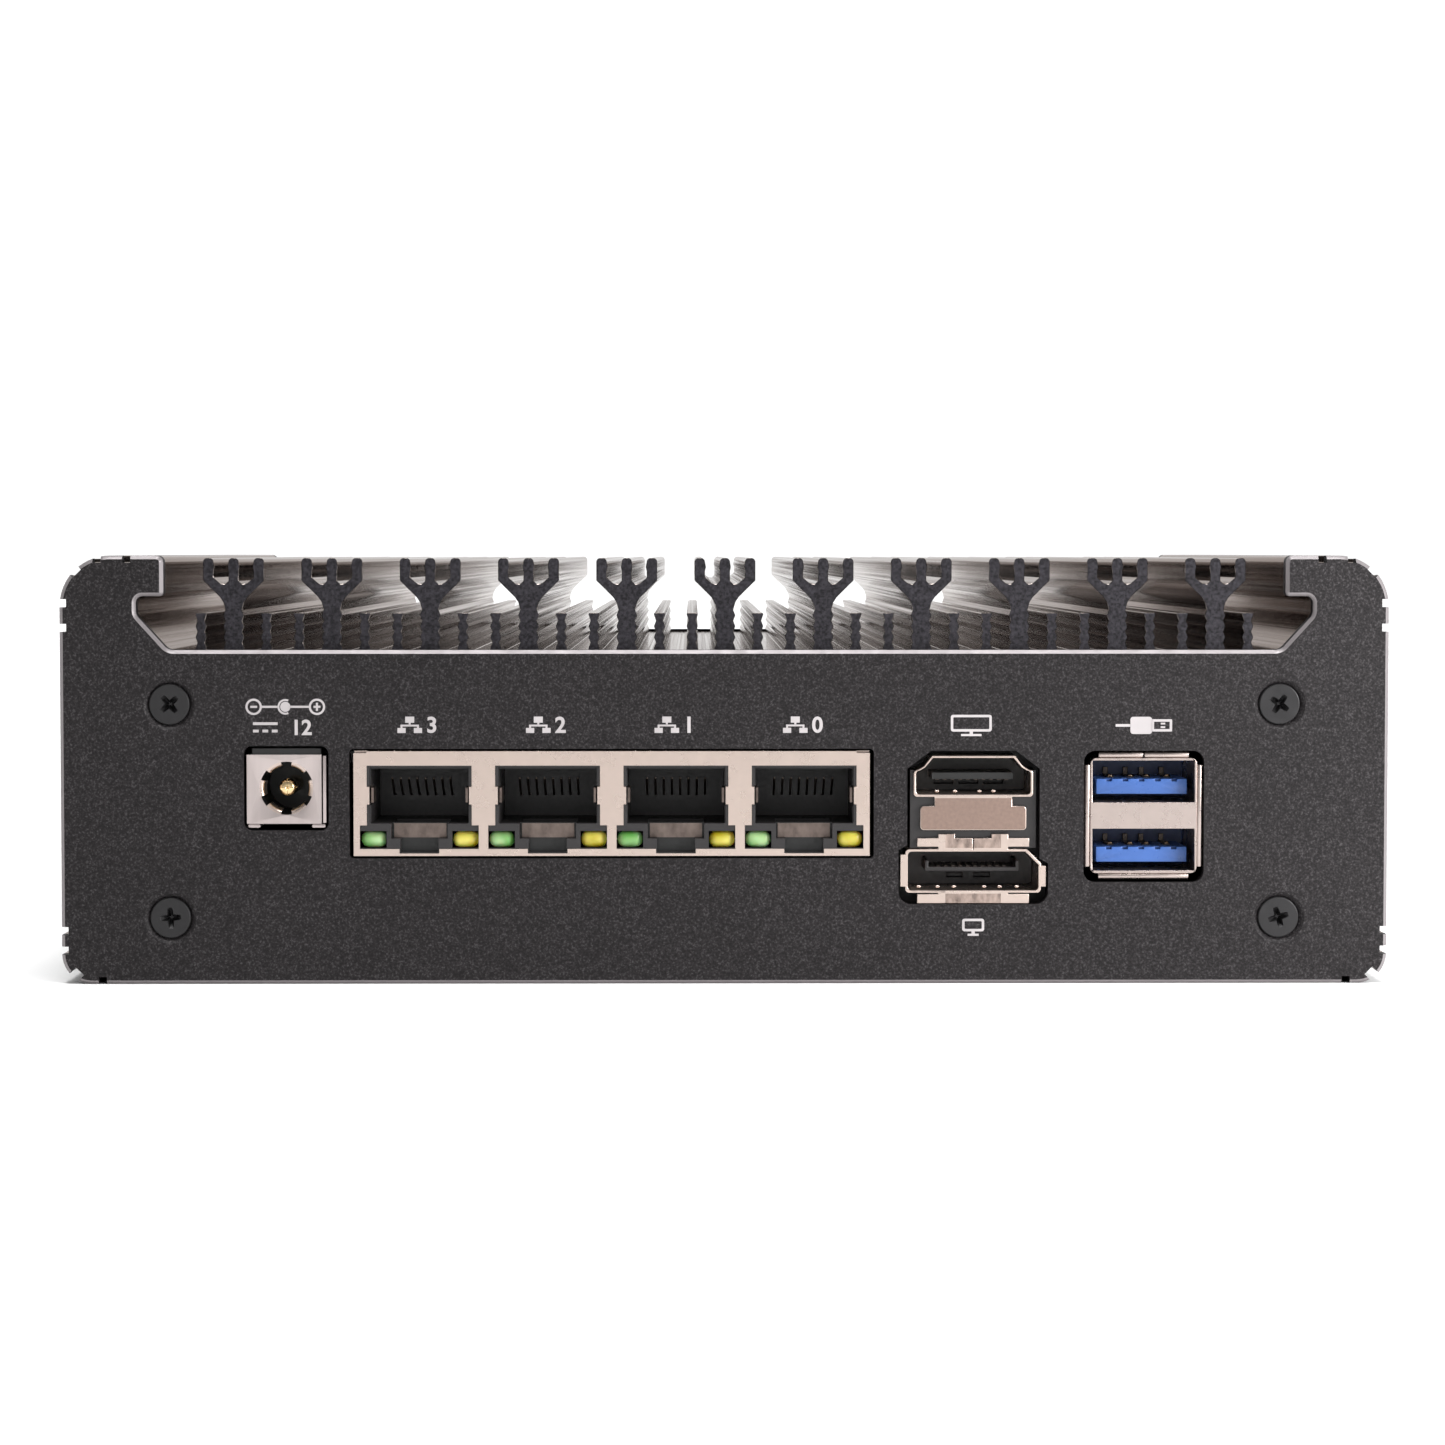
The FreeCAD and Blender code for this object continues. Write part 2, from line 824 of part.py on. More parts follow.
def trident_outline():
    """The end view of one tall fin: a ribbed stem that opens into three prongs."""
    half = ribbed_stem("rib_crest", "rib_valley", "stem_ribs")
    half += [
        Corner("rib_crest", "stem_top"),
        Corner("neck_reach", "neck_low"),
        Corner("prong_reach", "prong_low"),
    ]
    half += rounded("prong_reach", "prong_top", "prong_round", "up", "left")
    half += rounded("prong_inner", "prong_top", "prong_round", "left", "down")
    half += [
        Corner("prong_bulge", "prong_waist_high"),
        Corner("prong_inner", "prong_waist_low"),
        Corner("prong_inner", "prong_foot"),
        Corner("gap_floor_reach", "gap_floor"),
        Corner("gap_inner_reach", "gap_inner_floor"),
        Corner("middle_prong", "middle_foot"),
        Corner("middle_prong", "prong_waist_low"),
        Corner("middle_bulge", "prong_waist_high"),
    ]
    half += rounded("middle_prong", "prong_top", "prong_round", "up", "left")
    return half + mirrored(half)


def short_fin_outline(centre):
    half = ribbed_stem("short_crest", "short_valley", "short_ribs")
    half += rounded("short_crest", "short_top", "short_round", "up", "left")
    return shifted_outline(centre, half + mirrored(half))


def screw_spots():
    return [(f"{side} * screw_x", height) for side in SIDES for height in ("screw_low", "screw_high")]


def cover_screw_spots():
    return [(f"{x} * cover_screw_x", f"{y} * cover_screw_y") for x in SIDES for y in SIDES]


def housing():
    """One aluminium extrusion: roof with fins, side walls, and ledges that the screws hold in."""
    body = doc.addObject("PartDesign::Body", "heatsink_housing")
    length = "case_depth - plate_thick * 2"
    lip = "cover_reach + cover_seam"
    inside = "case_width / 2 - wall_thick"
    half = case_outline_half("roof_top - plate_lip") + [
        Corner(lip, "0"),
        Corner(lip, "ledge_low"),
        Corner("ledge_inner", "ledge_low"),
        Corner("ledge_inner", "ledge_high"),
        Corner(inside, "ledge_high"),
        Corner(inside, "upper_ledge_low"),
        Corner("ledge_inner", "upper_ledge_low"),
        Corner("ledge_inner", "roof_underside"),
    ]
    outlines = [half + mirrored(half)]
    for side in SIDES:
        ends = ordered(f"{side} * channel_inner", f"{side} * ({inside})")
        outlines.append(rectangle(ends, ("channel_low", "channel_high")))
        for height in ("screw_low", "screw_high"):
            outlines.append(Circle(f"{side} * screw_x", height, "tap_radius"))
    pad(body, "shell", "XZ_Plane", "0", outlines, length, symmetric=True)
    doc.recompute()
    for side in SIDES:
        pocket(body, "grooves", "XZ_Plane", "0", groove_outlines(side))
    taps = [Circle(x, y, "tap_radius") for x, y in cover_screw_spots()]
    pocket(body, "cover_taps", "XY_Plane", "ledge_low", taps, "cover_tap_deep")
    outlines = [trident_outline()]
    for side in SIDES:
        outlines.append(short_fin_outline(f"{side} * short_fin_offset"))
    fin = pad(body, "fin_group", "XZ_Plane", "0", outlines, length, symmetric=True)
    fin.Profile[0].setExpression("AttachmentOffset.Base.x", bound("-fin_pitch * (fin_groups - 1) / 2"))
    doc.recompute()
    fins = body.newObject("PartDesign::LinearPattern", "fin_row")
    fins.Originals = [fin]
    fins.Direction = (origin_feature(body, "X_Axis"), [""])
    fins.setExpression("Length", bound("fin_pitch * (fin_groups - 1)"))
    fins.setExpression("Occurrences", bound("fin_groups"))
    body.Tip = fins
    keep("heatsink_housing", body)


def flat_face_at(shape, level):
    """The name of the flat face that lies across y at a level."""
    for number, face in enumerate(shape.Faces, start=1):
        bounds = face.BoundBox
        if bounds.YLength < 0.01 and abs(bounds.YMin - level) < 0.01:
            return f"Face{number}"
    raise RuntimeError(f"no flat face at y = {level}")


def end_plate(node, side, openings):
    """A flat aluminium plate with the case's outline, bright chamfers and four countersunk holes."""
    body = doc.addObject("PartDesign::Body", node)
    half = case_outline_half("roof_top")
    y = inward(side, "0", "plate_thick")
    outer_face = y[0] if side < 0 else y[1]
    plate = pad(body, node + "_plate", "XZ_Plane", f"-({y[1]})", [half + mirrored(half)], "plate_thick")
    doc.recompute()
    chamfer = body.newObject("PartDesign::Chamfer", node + "_chamfer")
    chamfer.Base = (plate, [flat_face_at(plate.Shape, value(outer_face))])
    chamfer.setExpression("Size", bound("edge_chamfer"))
    check_cut(chamfer, plate)
    for hand in SIDES:
        seam = around(f"{hand} * (cover_reach + cover_seam / 2)", "groove_wide / 2")
        notches = groove_outlines(hand) + [rectangle(seam, ("-1", "groove_deep"))]
        pocket(body, node + "_notches", "XZ_Plane", "0", notches)
    pocket(body, node + "_openings", "XZ_Plane", "0", openings)
    countersinks(body, node + "_countersinks", "XZ_Plane", f"-({outer_face})", screw_spots(), side > 0)
    keep(node, body)


def stack_opening(centre):
    return rounded_rectangle(
        around(centre, "stack_cut_half"), ("stack_cut_low", "stack_cut_high"), "stack_cut_round")


def video_opening():
    """One opening for both video sockets: narrow above and wide below, with an uneven step on each side."""
    def half(step):
        return rounded("video_cut_low_half", "video_cut_low", "video_cut_round", "right", "up") + [
            Corner("video_cut_low_half", step),
            Corner("video_cut_half", f"{step} + video_cut_step_rise"),
            Corner("video_cut_half", "video_cut_shoulder"),
            Corner("video_cut_top_half", "video_cut_high"),
        ]
    outline = half("video_cut_right_step") + mirrored(half("video_cut_left_step"))
    return shifted_outline("video_x", outline)


def rear_panel():
    openings = [
        rounded_rectangle(around("inlet_x", "inlet_cut_half"), around("inlet_z", "inlet_cut_half"),
                          "inlet_cut_round"),
        rounded_rectangle(around("lan_middle", "lan_cut_half"), ("lan_cut_low", "lan_cut_high"),
                          "lan_cut_round"),
        video_opening(),
        stack_opening("stack_rear_x"),
    ]
    end_plate("rear_panel", PORT_SIDE, openings)


def front_panel():
    openings = [
        stack_opening("stack_front_x"),
        Circle("button_x", "button_z", "button_hole"),
        Circle("reset_x", "reset_z", "reset_hole"),
    ]
    for number in range(int(SIZES["light_count"])):
        openings.append(Circle(f"light_x + light_pitch * {number}", "light_z", "light_hole"))
    end_plate("front_panel", BUTTON_SIDE, openings)


def bottom_cover():
    body = doc.addObject("PartDesign::Body", "bottom_cover")
    reach = "case_depth / 2 - plate_thick - cover_end_gap"
    outlines = [rectangle(around("0", "cover_reach"), around("0", reach))]
    for x in SIDES:
        for y in SIDES:
            outlines.append(Circle(f"{x} * bracket_spacing / 2", f"{y} * bracket_spacing / 2",
                                   "bracket_tap_radius"))
    pad(body, "cover_plate", "XY_Plane", "0", outlines, "cover_thick")
    doc.recompute()
    countersinks(body, "cover_countersinks", "XY_Plane", "0", cover_screw_spots(), True)
    keep("bottom_cover", body)


def countersunk_screw(name, length):
    """A master screw that points along +Y with the top of its head at y = 0."""
    axis = ("0", "0")
    rim = rod(name + "_rim", "y", axis, ("0", "head_rim"), "head_radius")
    head = cone(name + "_cone", "y", axis, ("head_rim", "head_rim + head_cone"),
                "head_radius", "screw_radius")
    shank = rod(name + "_shank", "y", axis, ("head_rim", length), "screw_radius")
    bars = [
        block(name + "_bar_x", around("0", "recess_long / 2"), ("-1", "recess_deep"),
              around("0", "recess_wide / 2")),
        block(name + "_bar_z", around("0", "recess_wide / 2"), ("-1", "recess_deep"),
              around("0", "recess_long / 2")),
    ]
    return cut(name, fuse(name + "_blank", [rim, head, shank]), bars)


def case_screws():
    plate_screw = countersunk_screw("plate_screw", "screw_length")
    cover_screw = countersunk_screw("cover_screw", "cover_screw_length")
    half_turn = FreeCAD.Rotation(V(0, 0, 1), 180)
    for node, side, turns in (("rear_panel_screws", PORT_SIDE, PORT_SCREW_TURNS),
                              ("front_panel_screws", BUTTON_SIDE, PLAIN_SCREW_TURNS)):
        screws = []
        for (x, z), angle in zip(screw_spots(), turns):
            rotation = FreeCAD.Rotation(V(0, 1, 0), angle)
            if side > 0:
                rotation = half_turn.multiply(rotation)
            y = f"{side} * (case_depth / 2 - head_sunk)"
            screws.append(placed(node + "_one", plate_screw, x, y, z, rotation))
        keep(node, group(node, screws))
    screws = []
    upward = FreeCAD.Rotation(V(1, 0, 0), 90)
    for (x, y), angle in zip(cover_screw_spots(), PLAIN_SCREW_TURNS):
        rotation = upward.multiply(FreeCAD.Rotation(V(0, 1, 0), angle))
        screws.append(placed("cover_screw_one", cover_screw, x, y, "head_sunk", rotation))
    keep("bottom_cover_screws", group("bottom_cover_screws", screws))


# ---------------------------------------------------------------- electronics

BOARD_TOP = "board_low + board_thick"


def board_hole_spots():
    return [(f"{side} * board_hole_x", y) for side in SIDES for y in ("board_hole_rear", "board_hole_front")]


def mainboard():
    body = doc.addObject("PartDesign::Body", "mainboard")
    outlines = [rectangle(around("0", "board_half"), around("0", "board_half"))]
    outlines += [Circle(x, y, "clear_radius") for x, y in board_hole_spots()]
    pad(body, "board_plate", "XY_Plane", "board_low", outlines, "board_thick")
    keep("mainboard", body)
    standoffs, screws = [], []
    for x, y in board_hole_spots():
        tube = rod("standoff_tube", "z", (x, y), (BOARD_TOP, "roof_underside"), "standoff_radius")
        bore = rod("standoff_bore", "z", (x, y), (BOARD_TOP, "roof_underside"), "tap_radius")
        standoffs.append(cut("standoff", tube, [bore]))
        head = rod("board_screw_head", "z", (x, y), ("board_low - pan_high", "board_low"), "pan_radius")
        shank = rod("board_screw_shank", "z", (x, y), ("board_low - pan_high", "board_screw_top"),
                    "screw_radius")
        bar_z = ("board_low - pan_high - 1", "board_low - pan_high + recess_deep")
        bars = [
            block("board_screw_bar_x", around(x, "recess_long / 2"), around(y, "recess_wide / 2"), bar_z),
            block("board_screw_bar_y", around(x, "recess_wide / 2"), around(y, "recess_long / 2"), bar_z),
        ]
        screws.append(cut("board_screw", fuse("board_screw_blank", [head, shank]), bars))
    keep("board_standoffs", group("board_standoffs", standoffs))
    keep("board_screws", group("board_screws", screws))


def processor():
    package_top = f"{BOARD_TOP} + package_high"
    die_top = f"{package_top} + die_high"
    package = block("package", around("0", "package_wide / 2"), around("processor_y", "package_deep / 2"),
                    (BOARD_TOP, package_top))
    die = block("die", around("0", "die_wide / 2"), around("processor_y", "die_deep / 2"),
                (package_top, die_top))
    keep("processor", fuse("processor", [package, die]))
    block_x = around("0", "heat_block_half")
    block_y = around("processor_y", "heat_block_half")
    low = f"{die_top} + pad_thick"
    keep("cpu_heat_block", block("cpu_heat_block", block_x, block_y, (low, "roof_underside - pad_thick")))
    die_pad = block("die_pad", around("0", "die_wide / 2"), around("processor_y", "die_deep / 2"),
                    (die_top, low))
    roof_pad = block("roof_pad", block_x, block_y, ("roof_underside - pad_thick", "roof_underside"))
    keep("thermal_pads", group("thermal_pads", [die_pad, roof_pad]))


def board_parts():
    """Small components that stand on the board's upper side."""
    controllers, transformers, inductors, capacitors = [], [], [], []
    for port in lan_port_centres():
        controllers.append(block("lan_controller", around(port, "controller_side / 2"),
                                 around("controller_y", "controller_side / 2"),
                                 (BOARD_TOP, f"{BOARD_TOP} + controller_high")))
        transformers.append(block("lan_transformer", around(port, "transformer_wide / 2"),
                                  around("transformer_y", "transformer_deep / 2"),
                                  (BOARD_TOP, f"{BOARD_TOP} + transformer_high")))
    for step in centred_steps("inductor_count"):
        x = f"inductor_pitch * {step}"
        inductors.append(block("power_inductor", around(x, "inductor_side / 2"),
                               around("inductor_y", "inductor_side / 2"),
                               (BOARD_TOP, f"{BOARD_TOP} + inductor_high")))
        capacitors.append(rod("capacitor", "z", (x, "capacitor_y"),
                              (BOARD_TOP, f"{BOARD_TOP} + capacitor_high"), "capacitor_radius"))
    keep("lan_controllers", group("lan_controllers", controllers))
    keep("lan_transformers", group("lan_transformers", transformers))
    keep("power_inductors", group("power_inductors", inductors))
    keep("capacitors", group("capacitors", capacitors))


def memory():
    """Two laptop memory modules lying flat under the board, each held by its own socket."""
    sockets = []
    for number in range(2):
        y = f"memory_y - memory_pitch * {number}"
        low = "board_low - socket_high"
        module_z = (f"{low} + module_drop", f"{low} + module_drop + module_thick")
        module_y = (f"{y} + module_insert - module_deep", f"{y} + module_insert")
        bar = block("socket_bar", around("0", "socket_half"), (y, f"{y} + socket_deep"), (low, "board_low"))
        arms = []
        for side in SIDES:
            ends = ordered(f"{side} * socket_half", f"{side} * (socket_half - socket_arm)")
            arms.append(block("socket_arm", ends, (f"{y} - socket_reach", y), (low, "board_low")))
        slot = block("socket_slot", around("0", "module_half + slot_gap"),
                     (f"{y} - 1", f"{y} + module_insert + slot_gap"),
                     (f"{module_z[0]} - slot_gap", f"{module_z[1]} + slot_gap"))
        sockets.append(cut("memory_socket", fuse("socket_frame", [bar] + arms), [slot]))
        solids = [block("module_board", around("0", "module_half"), module_y, module_z)]
        for step in centred_steps("chip_count"):
            solids.append(block("module_chip", around(f"chip_pitch * {step}", "chip_wide / 2"),
                                around(f"{y} - module_deep / 2", "chip_deep / 2"),
                                (f"{module_z[0]} - chip_high", module_z[0])))
        keep(f"memory_module_{number + 1}", fuse(f"memory_module_{number + 1}", solids))
    keep("memory_sockets", group("memory_sockets", sockets))


def drive():
    """A solid-state drive on a card, in its edge socket, held down at the far end by one screw."""
    card_z = ("board_low - drive_drop - drive_thick", "board_low - drive_drop")
    end = "drive_rear + drive_long"
    card = block("drive_card", around("drive_x", "drive_wide / 2"), ("drive_rear", end), card_z)
    notch_z = (f"{card_z[0]} - 1", f"{card_z[1]} + 1")
    notch = rod("drive_notch", "z", ("drive_x", end), notch_z, "clear_radius")
    chips = []
    for number in range(int(SIZES["drive_chip_count"])):
        y = f"drive_rear + drive_chip_start + drive_chip_pitch * {number}"
        chips.append(block("drive_chip", around("drive_x", "drive_chip_wide / 2"),
                           around(y, "drive_chip_long / 2"), (f"{card_z[0]} - chip_high", card_z[0])))
    keep("ssd_module", fuse("ssd_module", [cut("drive_card_notched", card, [notch])] + chips))
    shell = block("drive_socket_block", around("drive_x", "drive_wide / 2"),
                  ("drive_rear + drive_insert - drive_socket_deep", "drive_rear + drive_insert"),
                  ("board_low - drive_socket_high", "board_low"))
    slot = block("drive_socket_slot", around("drive_x", "drive_wide / 2 + 1"),
                 ("drive_rear - slot_gap", "drive_rear + drive_insert + 1"),
                 (f"{card_z[0]} - slot_gap", f"{card_z[1]} + slot_gap"))
    keep("ssd_socket", cut("ssd_socket", shell, [slot]))
    spot = ("drive_x", end)
    tube = rod("drive_standoff_tube", "z", spot, (card_z[1], "board_low"), "standoff_radius")
    bore = rod("drive_standoff_bore", "z", spot, (card_z[1], "board_low"), "tap_radius")
    keep("ssd_standoff", cut("ssd_standoff", tube, [bore]))
    low = f"{card_z[0]} - drive_screw_high"
    head = rod("drive_screw_head", "z", spot, (low, card_z[0]), "pan_radius")
    shank = rod("drive_screw_shank", "z", spot, (low, "board_low"), "screw_radius")
    keep("ssd_screw", fuse("ssd_screw", [head, shank]))


def clock_battery():
    spot = ("battery_x", "battery_y")
    high = "board_low - battery_drop"
    cell = rod("cmos_battery", "z", spot, (f"{high} - battery_thick", high), "battery_radius")
    keep("cmos_battery", cell)
    frame = block("holder_block", around("battery_x", "holder_half"), around("battery_y", "holder_half"),
                  (f"{high} - battery_thick / 2", "board_low"))
    well = rod("holder_well", "z", spot, (f"{high} - battery_thick", high), "battery_radius + holder_gap")
    keep("battery_holder", cut("battery_holder", frame, [well]))


# ---------------------------------------------------------------- ports

def turned_about_inlet(name, master, angles):
    """Copies of a master that is centred on the origin, turned about the inlet's axis."""
    face = inward(PORT_SIDE, "0", "1")[0]
    return [placed(name, master, "inlet_x", face, "inlet_z", FreeCAD.Rotation(V(0, 1, 0), angle))
            for angle in angles]


def power_inlet():
    """A barrel inlet: a folded metal face over a black core, a split centre pin and six spring fingers."""
    spot = ("inlet_x", "inlet_z")
    z = ("inlet_z + inlet_face_low", "inlet_z + inlet_face_high")
    shell = block("inlet_shell_block", around("inlet_x", "inlet_half_wide"),
                  inward(PORT_SIDE, "port_face", "inlet_deep"), z)
    feet = []
    for side in SIDES:
        span = ordered(f"inlet_x + {side} * inlet_half_wide",
                       f"inlet_x + {side} * (inlet_half_wide - inlet_foot_wide)")
        foot_y = inward(PORT_SIDE, "port_face + sheet_thick", "inlet_foot_deep")
        feet.append(block("inlet_foot", span, foot_y,
                          ("inlet_z + inlet_foot_low", "inlet_z + inlet_face_low + sheet_thick")))
    room = block("inlet_shell_room", around("inlet_x", "inlet_half_wide - sheet_thick"),
                 inward(PORT_SIDE, "port_face + sheet_thick", "inlet_deep + 1"),
                 ("inlet_z + inlet_face_low + sheet_thick", "inlet_z + inlet_face_high + 1"))
    mouth = rod("inlet_shell_mouth", "y", spot, inward(PORT_SIDE, "0", "port_face + sheet_thick + joint"),
                "inlet_mouth")
    keep("dc_inlet_shell", cut("dc_inlet_shell", fuse("inlet_folds", [shell] + feet), [room, mouth]))
    core = block("inlet_core_block", around("inlet_x", "inlet_core_half"),
                 inward(PORT_SIDE, "port_face + sheet_thick + sheet_fit", "inlet_deep"),
                 ("inlet_z + inlet_face_low + sheet_thick + sheet_fit", "inlet_z + inlet_core_high"))
    bore = rod("inlet_core_bore", "y", spot, inward(PORT_SIDE, "0", "inlet_bore_deep"), "inlet_mouth")
    keep("dc_inlet_insulator", cut("dc_inlet_insulator", core, [bore]))

    pin = rod("inlet_pin_blank", "y", spot, inward(PORT_SIDE, "pin_face", "inlet_bore_deep"), "pin_radius")
    saw = block("inlet_pin_saw", around("0", "pin_radius * 2"), ("0", "pin_face + pin_slot_deep"),
                around("0", "pin_slot_wide / 2"))
    hole = rod("inlet_pin_hole", "y", spot, inward(PORT_SIDE, "0", "pin_face + pin_slot_deep"), "pin_hole")
    slots = turned_about_inlet("inlet_pin_slot", saw, PIN_SLOT_ANGLES)
    keep("dc_inlet_pin", cut("dc_inlet_pin", pin, slots + [hole]))

    ring_span = inward(PORT_SIDE, "contact_ring_face", "inlet_bore_deep")
    tube = rod("inlet_ring_tube", "y", spot, ring_span, "inlet_mouth - sheet_fit")
    bore = rod("inlet_ring_bore", "y", spot, ring_span, "contact_ring")
    gap = block("inlet_ring_gap", around("0", "inlet_mouth + 1"), ("0", "contact_slot_deep"),
                around("0", "contact_slot / 2"))
    gaps = turned_about_inlet("inlet_ring_slot", gap, FINGER_GAP_ANGLES)
    keep("dc_inlet_spring_contact", cut("dc_inlet_spring_contact", tube, [bore] + gaps))


def lan_port_centres():
    count = int(SIZES["lan_ports"])
    return [f"lan_middle + lan_pitch * {number - (count - 1) / 2}" for number in range(count)]


def lan_port_insert(port):
    """The dark moulding behind one window: a frame and throat, a stepped latch slot, seats for the lights."""
    body = block("lan_insert_block", around(port, "lan_insert_half"),
                 inward(PORT_SIDE, "lan_insert_face", "lan_deep - 1"),
                 ("lan_low + sheet_thick + sheet_fit", "lan_high - sheet_thick - sheet_fit"))
    behind = "port_face + sheet_thick + sheet_fit"
    tools = [
        block("lan_mouth", around(port, "lan_window_half - lan_frame"),
              inward(PORT_SIDE, "0", "lan_frame_deep"),
              ("lan_window_low + lan_frame", "lan_window_high - lan_frame / 2")),
        block("lan_throat", around(port, "lan_throat_half"), inward(PORT_SIDE, "0", "lan_throat_deep"),
              ("lan_throat_low", "lan_throat_high")),
        block("lan_latch_room", around(port, "lan_plate_half"), inward(PORT_SIDE, "0", "lan_latch_deep"),
              ("lan_plate_low", "lan_throat_low + joint")),
        block("lan_latch_slot", around(port, "lan_latch_half - joint"),
              inward(PORT_SIDE, "0", "lan_latch_deep"), ("lan_latch_low + joint", "lan_plate_low + joint")),
        block("lan_plate_slit", around(port, "lan_plate_half"),
              inward(PORT_SIDE, "lan_plate_face - sheet_fit", "lan_plate_face + sheet_thick + sheet_fit"),
              ("lan_low", "lan_plate_low + joint")),
        block("lan_spring_room", around(port, "lan_window_half"),
              inward(PORT_SIDE, "0", "lan_spring_deep + joint"),
              ("lan_spring_low - joint", "lan_spring_high + joint")),
        block("lan_skirt_above", around(port, "lan_insert_half + 1"), inward(PORT_SIDE, "0", behind),
              ("lan_window_high", "lan_high")),
        block("lan_skirt_below", around(port, "lan_insert_half + 1"), inward(PORT_SIDE, "0", behind),
              ("lan_low", "lan_foot_low + sheet_fit")),
    ]
    for side in SIDES:
        seat_x = ordered(f"{port} + {side} * lan_light_outer", f"{port} + {side} * lan_light_inner")
        tools.append(block("lan_light_seat", seat_x,
                           inward(PORT_SIDE, "0", "lan_light_deep"), ("lan_light_low", "lan_light_high")))
        tools.append(block("lan_skirt_side",
                           ordered(f"{port} + {side} * (lan_window_half - sheet_fit)",
                                   f"{port} + {side} * (lan_insert_half + 1)"),
                           inward(PORT_SIDE, "0", behind), ("lan_window_low - sheet_fit", "lan_high")))
    return cut("lan_insert_one", body, tools)


def lan_port_metal(port):
    """What the shield adds inside one window: two side springs and a plate behind the latch slot."""
    pieces = [block("lan_latch_plate", around(port, "lan_plate_half - sheet_fit"),
                    inward(PORT_SIDE, "lan_plate_face", "lan_plate_face + sheet_thick"),
                    ("lan_low", "lan_plate_high"))]
    for side in SIDES:
        pieces.append(block("lan_side_spring",
                            ordered(f"{port} + {side} * (lan_spring_half + sheet_thick)",
                                    f"{port} + {side} * lan_spring_half"),
                            inward(PORT_SIDE, "port_face", "lan_spring_deep"),
                            ("lan_spring_low", "lan_spring_high")))
        pieces.append(block("lan_side_fold",
                            ordered(f"{port} + {side} * (lan_window_half + joint)",
                                    f"{port} + {side} * lan_spring_half"),
                            inward(PORT_SIDE, "port_face", "port_face + sheet_thick"),
                            ("lan_spring_low", "lan_spring_high")))
    return pieces


def lan_port_lights(port):
    """The seats' two lights: green first, then yellow."""
    lights = []
    for side in SIDES:
        span = ordered(f"{port} + {side} * (lan_light_outer - sheet_fit)",
                       f"{port} + {side} * (lan_light_inner + sheet_fit)")
        lights.append(block("lan_light", span, inward(PORT_SIDE, "lan_light_face", "lan_light_deep"),
                            ("lan_light_low + sheet_fit", "lan_light_high - sheet_fit")))
    return lights


def lan_port_contacts(port):
    """Eight springy contacts that lean down from the roof of the throat."""
    strips = []
    for step in centred_steps("lan_contacts"):
        place = f"{port} + lan_contact_pitch * {step}"
        strip = block("lan_contact", around(place, "lan_contact_wide / 2"),
                      inward(PORT_SIDE, "lan_contact_face", "lan_contact_face + lan_contact_long"),
                      ("lan_contact_top - lan_contact_thick", "lan_contact_top"))
        strip.Placement.Rotation = FreeCAD.Rotation(V(1, 0, 0), -value("lan_contact_lean"))
        strips.append(strip)
    return strips


def lan_sockets():
    """Four network sockets behind one shield, latch side down."""
    y = inward(PORT_SIDE, "port_face", "lan_deep")
    shell = block("lan_shield_block", around("lan_middle", "lan_half"), y, ("lan_low", "lan_high"))
    tools = [block("lan_shield_room", around("lan_middle", "lan_half - sheet_thick"),
                   inward(PORT_SIDE, "port_face + sheet_thick", "lan_deep + 1"),
                   ("lan_low + sheet_thick", "lan_high - sheet_thick"))]
    for side in SIDES:
        tools.append(block("lan_corner",
                           ordered(f"lan_middle + {side} * lan_half",
                                   f"lan_middle + {side} * (lan_half - lan_corner_wide)"),
                           inward(PORT_SIDE, "0", "2"), ("lan_high - lan_corner_high", "lan_high")))
    metal, inserts, contacts, green, yellow = [], [], [], [], []
    slice_y = inward(PORT_SIDE, "0", "port_face + sheet_thick + joint")
    for port in lan_port_centres():
        tools.append(block("lan_window", around(port, "lan_window_half"), slice_y,
                           ("lan_window_low - joint", "lan_window_high")))
        tools.append(block("lan_foot", around(port, "lan_foot_half"), slice_y,
                           ("lan_foot_low", "lan_window_low")))
        tools.append(block("lan_latch_gap", around(port, "lan_latch_half"), slice_y,
                           ("lan_latch_low", "lan_window_low")))
        metal += lan_port_metal(port)
        inserts.append(lan_port_insert(port))
        lights = lan_port_lights(port)
        green.append(lights[0])
        yellow.append(lights[1])
        contacts += lan_port_contacts(port)
    frame = cut("lan_shield_frame", shell, tools)
    keep("lan_shield", fuse("lan_shield", [frame] + metal))
    keep("lan_inserts", group("lan_inserts", inserts))
    keep("lan_contacts", group("lan_contacts", contacts))
    keep("lan_green_lights", group("lan_green_lights", green))
    keep("lan_yellow_lights", group("lan_yellow_lights", yellow))


def upper_video_outline(inset):
    """The upper socket's section, wide side down; inset is how far inside the outer skin it lies."""
    shoulder = f"upper_shoulder - {inset} * shoulder_share"
    half = [Corner(f"upper_half - upper_round - {inset}", f"upper_low + {inset}",
                   (f"upper_half - upper_round - {inset}", f"upper_low + upper_round + {inset}")),
            Corner(f"upper_half - {inset}", f"upper_low + upper_round + {inset}"),
            Corner(f"upper_half - {inset}", f"{shoulder} - upper_round",
                   (f"upper_half - upper_round - {inset}", f"{shoulder} - upper_round")),
            Corner(f"upper_half - upper_round - {inset}", shoulder),
            Corner(f"upper_waist_half - {inset} * waist_share", f"upper_waist - {inset} * waist_share"),
            Corner(f"upper_top_half - {inset} * top_share", f"upper_high - {inset}")]
    return shifted_outline("video_x", half + mirrored(half))


